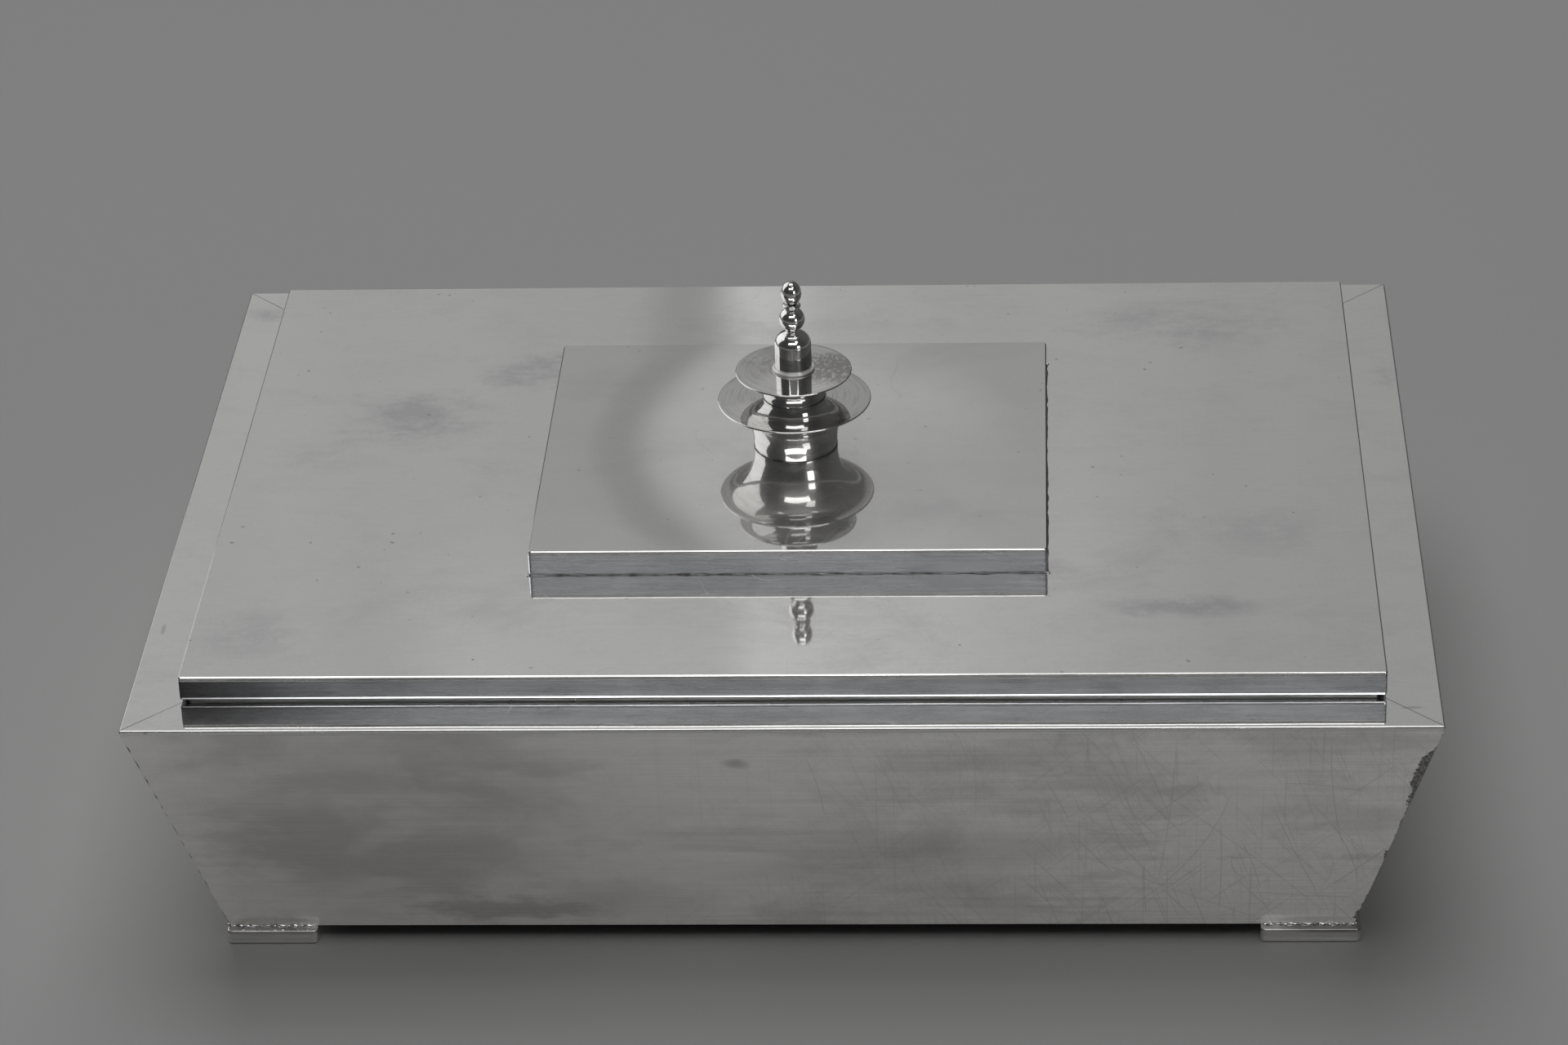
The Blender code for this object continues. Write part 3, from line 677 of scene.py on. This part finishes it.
lidSilver = sheetSilver("lidSilver", "lid_top", lidLook)
stepSilver = sheetSilver("stepSilver", "step_top", stepLook)
rimAlong = sheetSilver("rimSilverAlong", "rim_right", rimLook)
rimAcross = sheetSilver("rimSilverAcross", "rim_right", rimLook, 0.4)
wallFrontSilver = wallSilver("wallFrontSilver", True)
wallPlainSilver = wallSilver("wallPlainSilver")
noSeam, lidTop = -100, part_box("lid_top")[1].z / mm
lidEdging = edgingSilver("lidEdging", "satin_silver", edgingLook, noSeam, 0.95)
stepEdging = edgingSilver("stepEdging", "satin_silver", edgingLook, lidTop)
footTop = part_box("foot_front_left")[1].z / mm
footSilver = edgingSilver("footSilver", "turned_silver", footLook, footTop)
turned = turnedSilver("finialSilver", turnedLook)
ringSilver = turnedSilver("ringSilver", ringLook)
inner = plainFinish("innerSilver", "inner_silver", innerLook)
baseSilver = plainFinish("baseSilver", "inner_silver", innerLook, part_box("base_sheet")[0].z / mm)
brightSolder = plainFinish("brightSolder", "polished_silver", brightLook)
ledgeSolder = plainFinish("ledgeSolder", "polished_silver", ledgeLook)
darkSolder = plainFinish("darkSolder", "polished_silver", darkLook)
steel = plainFinish("fixingSteel", "fixing_steel", steelLook)
print("materials made")


# Case

case = {"slope": caseSlope, "sheet": 1.2 * mm, "cornerRadius": 0.3 * mm, "seam": 0.015 * mm}
rim = {
    "slope": caseSlope, "facet": 0.56 * mm, "cornerRadius": 0.4 * mm, "seam": 0.02 * mm,
    "bow": 0.03 * mm,
}
collar = {"cornerRadius": 1.0 * mm, "seam": 0.01 * mm, "lipRadius": 0.3 * mm}
# The base reaches into the leaning walls
base = {"cornerRadius": 0.1 * mm, "reach": 0.27 * mm}
# The spread widens the front right foot on both sides, which the photograph shows
foot = {"edgeRadius": 0.5 * mm, "topRadius": 0.3 * mm, "cornerRadius": 1.2 * mm, "spread": 0.9 * mm}
footSolder = {"radius": 0.38 * mm, "least": 0.3, "pitch": 1.5 * mm}
innerSolder = {"radius": 0.9 * mm, "least": 0.55, "pitch": 5 * mm}
uprightSolder = {**innerSolder, "radius": 0.7 * mm}
# Flecks of solder along the front left foot's ledge, in mm from the foot's middle
flecks = (-6.9, -3.2, 0.6, 2.3, 3.7, 5.8, 8.2)
facetAngle = math.radians(34.5)


def facetSteps(length):
    # Front edges are burnished to a narrow facet, which leans by an angle and mirrors the window:
    # (length * sin, length * cos) of that angle.
    return length * math.sin(facetAngle), length * math.cos(facetAngle)


def buildCase():
    wallBottom, wallTop = (corner.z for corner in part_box("wall_front"))
    rimBottom, rimTop = (corner.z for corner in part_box("rim_front"))
    half, collarHalf = halfPlan("wall"), halfPlan("collar")
    slope, sheet = case["slope"], case["sheet"]
    lean = -slope * (wallTop - wallBottom)
    upper = rimBottom - hair
    join = slope * (upper - wallTop)
    corners = [(join, upper), (lean, wallBottom), (lean - sheet, wallBottom), (join - sheet, upper)]
    profile = roundedOutline(corners, (0, 0.15 * mm, 0.1 * mm, 0))
    addFrame("wall", profile, half, case, (wallFrontSilver,) + 3 * (wallPlainSilver,), "case")

    reach = half[0] + slope * (rimTop - wallTop) - collarHalf[0] - hair
    under = reach - slope * (rimTop - rimBottom)
    across, down = facetSteps(rim["facet"])
    shoulder = [(reach - across - slope * down, rimTop), (reach - slope * down, rimTop - down)]
    corners = shoulder + [(under, rimBottom), (hair, rimBottom), (hair, rimTop)]
    soft, crisp = 0.25 * mm, 0.05 * mm
    profile = roundedOutline(corners, (soft, soft, crisp, 0, crisp), 6)
    addFrame("rim", profile, collarHalf, rim, (rimAlong, rimAcross), "case")

    low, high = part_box("collar_front")
    thickness = high.y - low.y
    corners = [(0, high.z), (0, low.z), (-thickness, low.z), (-thickness, high.z)]
    lip, soft = collar["lipRadius"], 0.1 * mm
    profile = roundedOutline(corners, (lip, soft, soft, lip))
    addFrame("collar", profile, collarHalf, collar, (inner,), "case")

    low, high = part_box("base_sheet")
    rows = [(2 * hair, low.z), (hair, low.z), (0, high.z), (hair, high.z)]
    grown = (high.x + base["reach"], high.y + base["reach"])
    plate = makeShell(platePoints(grown, base["cornerRadius"], rows))
    addPiece("baseSheet", [plate], baseSilver, "case", "base_sheet")
    buildInnerSolder(half, wallTop, high.z + 0.2 * mm)
    for end in ("front", "back"):
        for side in ("left", "right"):
            buildFoot(f"foot_{end}_{side}", (half[0] + lean, half[1] + lean), wallBottom)


def buildInnerSolder(half, wallTop, height):
    # Fillets where the walls meet the base and each other, seen with the lid off.
    def innerCorner(sign, height):
        inset = case["slope"] * (wallTop - height) + case["sheet"]
        return sign[0] * (half[0] - inset), sign[1] * (half[1] - inset), height

    shells = []
    for index, sign in enumerate(cornerSigns):
        start = innerCorner(sign, height)
        end = innerCorner(cornerSigns[(index + 1) % 4], height)
        inwards = (0, -sign[1], 0) if index % 2 == 0 else (-sign[0], 0, 0)
        shells.append(straightBead(start, end, inwards, {**innerSolder, "seed": 20 + index}))
        top = innerCorner(sign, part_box("collar_front")[0].z)
        inwards = np.cross((sign[0], -sign[1], 0), np.subtract(top, start)) * sign[0] * sign[1]
        shells.append(straightBead(start, top, inwards, {**uprightSolder, "seed": 30 + index}))
    addPiece("innerSolder", shells, brightSolder, "case")


def buildFoot(node, corner, wallBottom):
    # A block with round edges, and solder on its ledge along the two walls above it.
    low, high = (np.array(place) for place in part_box(node))
    middle = (low + high) / 2
    sign = np.sign(middle)
    top = wallBottom - hair
    edge, lip = foot["edgeRadius"], foot["topRadius"]
    rows = [(2 * edge, low[2]), *ellipseArc((edge, low[2] + edge), (edge, edge), -90, -180, 8)]
    rows += [*ellipseArc((lip, top - lip), (lip, lip), 180, 90, 8), (1.5 * lip, top)]
    spread = foot["spread"] if node == "foot_front_right" else 0
    half = (high - low) / 2 + [spread, 0, 0]
    points = platePoints(half[:2], foot["cornerRadius"], rows)
    points[..., :2] += middle[:2]
    addPiece(camelName(node), [makeShell(points)], footSilver, "case", node)

    end = np.array([*corner, wallBottom]) + np.array([0.2, 0.2, 0.12]) * mm
    nearest = np.minimum(abs(low), abs(high)) - [spread, 0, 0] + 0.6 * mm
    seed = 40 + int(2 * sign[0] + sign[1])
    shells = []
    for axis in range(2):
        start = end.copy()
        start[axis] = nearest[axis]
        outward = sign * ((0, 1, 0), (1, 0, 0))[axis]
        look = {**footSolder, "seed": seed + 10 * axis}
        shells.append(straightBead(sign * start, sign * end, outward, look))
    if node == "foot_front_left":
        for index, place in enumerate(flecks):
            centre = (middle[0] + place * mm, -corner[1] - 1.9 * mm, top + 0.02 * mm)
            size = (0.28 + 0.12 * math.sin(3 * index)) * mm
            shells.append(lumpShell(centre, (1.6 * size, size, 0.7 * size), index))
    addPiece(camelName(node) + "Solder", shells, ledgeSolder, "case")


buildCase()
print("case built")


# Lid

# The bevel leans just enough to mirror the window
lid = {
    "facet": 0.42 * mm, "cornerRadius": 0.6 * mm, "seam": 0.01 * mm, "bevel": 0.4 * mm,
    "hem": 0.25 * mm, "wall": 1.2 * mm,
}
step = {
    "facet": 0.34 * mm, "cornerRadius": 0.9 * mm, "seam": 0.01 * mm, "bevel": 0.1 * mm,
    "hem": 0.05 * mm, "wall": 1.2 * mm,
}
stepSolder = {"radius": 0.38 * mm, "least": 0.25, "pitch": 2.4 * mm, "endSharpness": 200}
spur = {"radius": 0.45 * mm, "length": 1.6 * mm}


def boredSheet(low, high, look):
    # A sheet with a round top edge and a bore for the rod: its rings run from the bore out
    # over the top, down the edge and back under to the bore.
    across, down = facetSteps(look["facet"])
    held, soft = 1.2 * mm, 0.2 * mm
    corners = [(held, high.z), (across, high.z), (0, high.z - down), (0, low.z), (held, low.z)]
    rows = roundedOutline(corners, (0, soft, soft, soft / 5, 0), 6)
    points = platePoints((high.x, high.y), look["cornerRadius"], rows)
    last = points[-1, :, :2]
    circle = (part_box("finial_rod")[1].x + hair) * last / np.linalg.norm(last, axis=-1, keepdims=True)
    top, under = (np.column_stack([circle, np.full(len(circle), z)]) for z in (high.z, low.z))
    return makeShell(np.concatenate([[top], points, [under]]), wrapRows=True)


def buildRaised(kind, look, bottom, sheetFinish, wallFinish):
    low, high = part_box(kind + "_top")
    sheet = boredSheet(low, high, look)
    addPiece(kind + "Sheet", [sheet], sheetFinish, "lid", kind + "_top")
    # Two narrow bevels along the walls' bottom mirror the window: one is seen itself and the
    # other, which faces down by the facet's angle, in the sheet below.
    top, depth, bevel = low.z - hair / 2, look["wall"], look["bevel"]
    inset, soft = -0.1 * bevel, 0.06 * mm
    across, rise = facetSteps(look["hem"])
    corners = [(0, top), (0, bottom + rise + bevel), (inset, bottom + rise), (inset - across, bottom)]
    corners += [(-depth, bottom), (-depth, top)]
    profile = roundedOutline(corners, (0, soft, soft / 2, soft / 2, soft, 0), 4)
    addFrame(kind + "_wall", profile, (high.x, high.y), look, (wallFinish,), "lid")


def buildStepSolder():
    # Dark solder along the foot of the step, with bright spurs where its corners were touched up.
    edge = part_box("step_top")[1]
    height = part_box("lid_top")[1].z + 0.08 * mm
    size, length = spur["radius"], spur["length"]
    shells, spurs = [], []
    for index, (signX, signY) in enumerate(cornerSigns):
        nextX, nextY = cornerSigns[(index + 1) % 4]
        outward = (0, signY, 0) if index % 2 == 0 else (signX, 0, 0)
        start, end = (signX * edge.x, signY * edge.y, height), (nextX * edge.x, nextY * edge.y, height)
        shells.append(straightBead(start, end, outward, {**stepSolder, "seed": 50 + index}))
        centre = (signX * (edge.x + 0.1 * mm), signY * (edge.y + 0.1 * mm), height)
        spurs.append(lumpShell(centre, (size, size, 0.7 * size), index))
        centre = (signX * (edge.x - length), signY * (edge.y + 0.05 * mm), height - 0.04 * mm)
        spurs.append(lumpShell(centre, (length, 0.5 * size, 0.35 * size), index + 1))
    addPiece("stepSolder", shells, darkSolder, "lid")
    addPiece("stepSpurs", spurs, brightSolder, "lid")


buildRaised("lid", lid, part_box("lid_wall_front")[0].z, lidSilver, lidEdging)
buildRaised("step", step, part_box("lid_top")[1].z, stepSilver, stepEdging)
buildStepSolder()
print("lid built")


# Finial: sizes in millimetres, heights above the step

finial = {
    "lower": {
        "foot": 10.06, "waist": 10.2, "waistHeight": 1.5, "rim": 18.55, "rimHeight": 12.6,
        "edge": 0.45, "seat": 7.6, "seatHeight": 13.3, "web": 2.0,
    },
    "upper": {
        "foot": 7.52, "waist": 7.6, "waistHeight": 0.8, "rim": 14.07, "rimHeight": 6.87,
        "edge": 0.4, "seat": 5.0, "seatHeight": 7.2, "web": 1.8,
    },
    "ring": {"radius": 5.16, "thickness": 0.7},
    "post": {"foot": 4.48, "shoulder": 4.44, "shaft": 6.0, "dome": 3.6, "neck": 1.7},
    "bead": {"radius": 3.1, "centre": 33.8, "seat": 1.6},
    "tipRing": {"radius": 2.23, "bottom": 36.85, "thickness": 1.0},
    "egg": {"radius": 2.46, "halfHeight": 3.1, "seat": 1.2, "boreDepth": 2.4},
    "hollowWall": 1.0,
    "rodBore": 1.52,
    "rodDepth": 4.2,
    "pinBore": 0.52,
    "pinDepth": 3.0,
}
seamSolder = {"radius": 0.2 * mm, "least": 0.3, "pitch": 1.6 * mm, "seed": 71}
upperSolder = {**seamSolder, "radius": 0.14 * mm, "seed": 72}
# A corner that turns by more than the angle is held by a point on each side longer than least
holding = {"angle": 14, "least": 0.3 * mm, "distance": 0.06 * mm}


def heldCorners(profile):
    # More points close to both sides of every sharp corner, so that smooth shading stays near it:
    # a corner turns by the angle between the unit steps before and after it.
    points = [profile[0]]
    for before, corner, after in zip(profile[:-2], profile[1:-1], profile[2:]):
        back, ahead = before - corner, after - corner
        sharp = unit(-back) @ unit(ahead) < math.cos(math.radians(holding["angle"]))
        if sharp and np.linalg.norm(back) > holding["least"]:
            points.append(corner + unit(back) * holding["distance"])
        points.append(corner)
        if sharp and np.linalg.norm(ahead) > holding["least"]:
            points.append(corner + unit(ahead) * holding["distance"])
    return np.array(points + [profile[-1]])


def saucerProfile(size):
    # The flare is a quarter ellipse that leaves the waist upright and meets the rim's
    # underside lying flat; the rim's edge is a half circle.
    edge, seat, seatHeight = size["edge"] / 2, size["seat"], size["seatHeight"]
    inner, hollow, bore = size["rim"] - edge, size["waist"] - finial["hollowWall"], finial["rodBore"]
    under, ceiling = size["rimHeight"] - 2 * edge, seatHeight - size["web"]
    share = np.linspace(0, 0.97, 12)[:, None]
    slant = [inner - seat, size["rimHeight"] - seatHeight] * share + [seat, seatHeight]
    radii = (size["waist"] - inner, under - size["waistHeight"])
    return [
        (bore, seatHeight),
        *slant,
        *ellipseArc((inner, under + edge), (edge, edge), 90, -90, 13),
        *ellipseArc((inner, size["waistHeight"]), radii, 90, 0, 40)[1:],
        (size["foot"], 0),
        (hollow, 0),
        (hollow, ceiling),
        (bore, ceiling),
    ]


def ringProfile(size, bore, bottom):
    # A flat ring whose rim is a half circle.
    edge, top = size["thickness"] / 2, bottom + size["thickness"]
    arc = ellipseArc((size["radius"] - edge, bottom + edge), (edge, edge), 90, -90, 17)
    return [(bore, top), *arc, (bore, bottom)]


def ballArc(radius, halfHeight, centre, lowRadius, highRadius):
    # Down the outside of a ball, from where its radius is the high one to the low one.
    start, end = (math.degrees(math.acos(seat / radius)) for seat in (highRadius, lowRadius))
    return ellipseArc((0, centre), (radius, halfHeight), start, -end, 40)


def addTurned(name, profile, node, closed=True, silver=turned, lift=0):
    # A profile in millimetres above the step, turned about Z.
    places = np.array(profile) * mm + [0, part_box("step_top")[1].z + lift]
    shell = makeShell(lathePoints(heldCorners(places)), wrapRows=closed, caps=False)
    addPiece(name, [shell], silver, "lid", node)


def buildFinial():
    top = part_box("step_top")[1].z
    lower, upper, ring = finial["lower"], finial["upper"], finial["ring"]
    post, bead, egg = finial["post"], finial["bead"], finial["egg"]
    bore, pinBore = finial["rodBore"], finial["pinBore"]
    seat = lower["seatHeight"] * mm
    addTurned("lowerSaucer", saucerProfile(lower), "finial_lower_saucer")
    addTurned("upperSaucer", saucerProfile(upper), "finial_upper_saucer", lift=seat)
    beads = [
        ringBead((lower["foot"] + 0.05) * mm, top + 0.05 * mm, seamSolder),
        ringBead((upper["foot"] + 0.05) * mm, top + seat + 0.02 * mm, upperSolder),
    ]
    addPiece("finialSolder", beads, darkSolder, "lid")
    height = lower["seatHeight"] + upper["seatHeight"]
    addTurned("postRing", ringProfile(ring, bore, height), "finial_post_ring", silver=ringSilver)

    height += ring["thickness"]
    bend = math.degrees(math.acos(post["neck"] / post["shoulder"]))
    radii = (post["shoulder"], post["dome"])
    dome = ellipseArc((0, height + post["shaft"]), radii, bend, 0, 28)
    seat = bead["centre"] - math.sqrt(bead["radius"] ** 2 - bead["seat"] ** 2)
    pinEnd, rodEnd = seat - finial["pinDepth"], height + finial["rodDepth"]
    profile = [(0, pinEnd), (pinBore, pinEnd), (pinBore, seat), (bead["seat"], seat)]
    profile += [(bead["seat"], dome[0][1] + 0.12), *dome, (post["foot"], height + 0.25)]
    profile += [(post["foot"] - 0.1, height), (bore, height), (bore, rodEnd), (0, rodEnd)]
    addTurned("post", profile, "finial_post", False)

    arc = ballArc(bead["radius"], bead["radius"], bead["centre"], bead["seat"], bead["seat"])
    addTurned("bead", [(pinBore, arc[0][1]), *arc, (pinBore, arc[-1][1])], "finial_bead")
    ring = finial["tipRing"]
    addTurned("tipRing", ringProfile(ring, pinBore, ring["bottom"]), "finial_tip_ring")

    centre = (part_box("finial_tip")[1].z - top) / mm - egg["halfHeight"]
    arc = ballArc(egg["radius"], egg["halfHeight"], centre, egg["seat"], 0)
    low = arc[-1][1]
    high = low + egg["boreDepth"]
    addTurned("egg", [*arc, (pinBore, low), (pinBore, high), (0, high)], "finial_tip", False)


buildFinial()
print("finial built")


# Fixings under the lid

fixings = {
    "threadPitch": 0.5 * mm, "threadDepth": 0.28 * mm, "threadLength": 7 * mm,
    "rodBevel": 0.35 * mm, "nutBevel": 0.34 * mm, "nutFlare": 0.25 * mm, "washerEdge": 0.2 * mm,
}


def threadedRod(low, high):
    # A round bar whose lower end is cut by a thread: the radius falls by the thread's depth
    # times a triangle wave of (height / pitch + turn / full circle).
    pitch, turn = fixings["threadPitch"], fullTurn(48)
    cut = low.z + fixings["threadLength"]
    height = np.append(np.arange(low.z, cut, pitch / 12), [cut + 0.3 * mm, high.z])[:, None]
    wave = (height / pitch + turn / (2 * math.pi)) % 1
    fade = np.clip((cut - height) / pitch, 0, 1)
    depth = fixings["threadDepth"] * np.abs(2 * wave - 1) * fade
    bevel = np.clip(fixings["rodBevel"] - (height - low.z), 0, 1)
    return makeShell(aroundAxis(high.x - np.maximum(depth, bevel), turn, height))


def hexNut(low, high, bore):
    # Its outline is apothem / cos(angle from the middle of a flat), and near the two faces it
    # is cut by cones that leave a chamfer of 30 degrees.
    sixth = math.pi / 3
    turn = fullTurn(96)
    apothem = min(high.x, high.y)
    start = 0 if high.x > high.y else sixth / 2
    outline = apothem / np.cos((turn - start) % sixth - sixth / 2)
    rise, flare = np.linspace(0, fixings["nutBevel"], 7), fixings["nutFlare"]
    radii = [np.minimum(outline, 0.95 * apothem + d / math.tan(sixth / 2)) for d in rise]
    rings = [*zip(radii, low.z + rise), *zip(radii[::-1], high.z - rise[::-1])]
    rings += [(bore + flare, high.z), (bore, high.z - flare)]
    rings += [(bore, low.z + flare), (bore + flare, low.z)]
    points = [aroundAxis(radius, turn, height) for radius, height in rings]
    return makeShell(np.stack(points), wrapRows=True)


def buildFixings():
    low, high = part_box("finial_rod")
    addPiece("rod", [threadedRod(low, high)], steel, "lid", "finial_rod")
    bore = high.x + hair
    addPiece("nut", [hexNut(*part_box("finial_nut"), bore)], steel, "lid", "finial_nut")
    low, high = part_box("finial_washer")
    edge = fixings["washerEdge"]
    corners = [(bore, high.z), (high.x, high.z), (high.x, low.z), (bore, low.z)]
    profile = roundedOutline(corners, (edge / 2, edge, edge, edge / 2), 5)
    shell = makeShell(lathePoints(profile), wrapRows=True)
    addPiece("washer", [shell], steel, "lid", "finial_washer")
    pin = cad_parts["finial_pin"].data
    pin.materials.clear()
    pin.materials.append(steel[0])


buildFixings()
print("fixings built")


# Studio

floorLook = {"tone": 0.415, "roughness": 0.5, "gloss": 0.08, "size": 14.0}
# Azimuth in degrees from the front, positive to the right; elevation; distance; size; and
# radiance, where 1 is white
lights = {
    "window": (2, 43.2, 1.5, (1.3, 0.35), 3.0),
    "top": (0, 93, 1.4, (0.95, 0.5), 1.6),
    "key": (-122, 27.5, 2.6, (2.75, 2.7), 1.05),
    "strip": (39, 10.5, 1.5, (0.42, 0.48), 3.0),
    "spot": (38, 52, 1.5, (0.36, 0.42), 1.8),
    "backFill": (-172, 58, 2.2, (1.6, 1.6), 1.45),
    "frontFill": (-5, 72, 2.2, (1.5, 1.5), 0.88),
}
surround = {
    "front": 0.045,
    "sides": 0.09,
    "glow": 0.04,  # low in front of the box
    "panel": 0.32,  # behind the box
    "crest": 0.17,  # a bright fold of the panel, left of its middle
    "left": 0.065,  # a paler one beside it, high up
    "crease": 0.22,  # a dark line that slants down the panel
    "ceiling": 0.3,
}
camera = {
    "place": (0.0612, -1.0970, 0.6598), "lens": 117.08, "pitch": 28.663, "yaw": -3.379,
    "roll": 1.957,
}


def buildFloor():
    size = floorLook["size"] / 2
    mesh = bpy.data.meshes.new("floor")
    corners = [(signX * size, signY * size, 0) for signX, signY in cornerSigns]
    mesh.from_pydata(corners, [], [(0, 1, 2, 3)])
    finish, place = startMaterial("paleFloor")
    values = {"Base Color": tone(floorLook["tone"]), "Roughness": floorLook["roughness"]}
    values["Specular IOR Level"] = floorLook["gloss"]
    surface = place.add("ShaderNodeBsdfPrincipled", None, values)
    place.add("ShaderNodeOutputMaterial", None, {"Surface": surface})
    mesh.materials.append(finish[0])
    addObject("floor", mesh)


def buildWorld():
    # Dim all round, with a soft bright panel behind the box that its flat sheets mirror.
    # Behind and ahead are turns in radians from those two directions, and z is how high.
    world = bpy.data.worlds.new("studio")
    bpy.context.scene.world = world
    world.use_nodes = True
    nodes = world.node_tree.nodes
    x, y, z = Wire(nodes.new("ShaderNodeTexCoord").outputs["Generated"]).split()
    behind = x.math("ARCTAN2", x, y)
    ahead = x.math("ARCTAN2", x, 0 - y)
    aside = ahead.size().between(1.1, 2.2)
    level = surround["front"] + aside * (surround["sides"] - surround["front"])
    glow = (ahead + 0.03).near(0.03, 0.2) * z.between(0.2, 0.4) * (1 - z.between(0.6, 0.8))
    level = level + glow * surround["glow"]
    folds = (behind * 14).ripples()
    panel = (behind + 0.08).near(0.2, 0.42) * z.between(0.28, 0.4) * (1 - z.between(0.64, 0.76))
    crest = behind.between(-0.078, -0.063) * (1 - behind.between(-0.05, 0.04)) * surround["crest"]
    crest = crest * (1 - (1 - z.between(0.45, 0.49)) * behind.between(-0.062, -0.045) * 0.6)
    left = (behind + 0.105).near(0.025, 0.05) * z.between(0.47, 0.5) * surround["left"]
    crease = (behind + z * 0.1 + 0.0347).near(0.002, 0.013)
    crease = crease * (1 - z.between(0.47, 0.505)) * surround["crease"]
    peak = crest + left + surround["panel"] - behind * 0.25
    peak = peak * (1 + (folds - 0.5) * 0.3) * (1 - crease)
    level = level + (peak - level) * panel
    level = level + z.between(0.88, 0.97) * surround["ceiling"]
    nodes["Background"].inputs["Color"].default_value = (1, 1, 1, 1)
    world.node_tree.links.new(level.socket, nodes["Background"].inputs["Strength"])


def buildLights():
    # The fills light the floor and stay out of the mirrors. The others are seen there, and of
    # them the top one lights the floor too.
    centre = (cadBounds[0] + cadBounds[1]) / 2
    for name, (azimuth, elevation, distance, size, radiance) in lights.items():
        lamp = bpy.data.lights.new(name, "AREA")
        lamp.shape = "RECTANGLE"
        lamp.size, lamp.size_y = size
        lamp.energy = radiance * math.pi * size[0] * size[1]
        azimuth, elevation = math.radians(azimuth), math.radians(elevation)
        flat = math.cos(elevation)
        direction = Vector((math.sin(azimuth) * flat, -math.cos(azimuth) * flat, math.sin(elevation)))
        light = addObject(name, lamp)
        light.location = centre + direction * distance
        light.rotation_euler = direction.to_track_quat("Z", "Y").to_euler()
        light.visible_camera = False
        light.visible_glossy = not name.endswith("Fill")
        light.visible_diffuse = name.endswith("Fill") or name == "top"


def buildCamera():
    pitch, yaw, roll = (math.radians(camera[key]) for key in ("pitch", "yaw", "roll"))
    lens = bpy.data.cameras.new("camera")
    lens.lens = camera["lens"]
    lens.clip_end = 100
    viewer = addObject("camera", lens)
    turn = Matrix.Rotation(-yaw, 4, "Z") @ Matrix.Rotation(math.pi / 2 - pitch, 4, "X")
    viewer.matrix_world = Matrix.Translation(camera["place"]) @ turn @ Matrix.Rotation(-roll, 4, "Z")
    bpy.context.scene.camera = viewer


buildFloor()
buildWorld()
buildLights()
buildCamera()
bpy.context.scene.view_settings.view_transform = "Standard"
print("studio set")
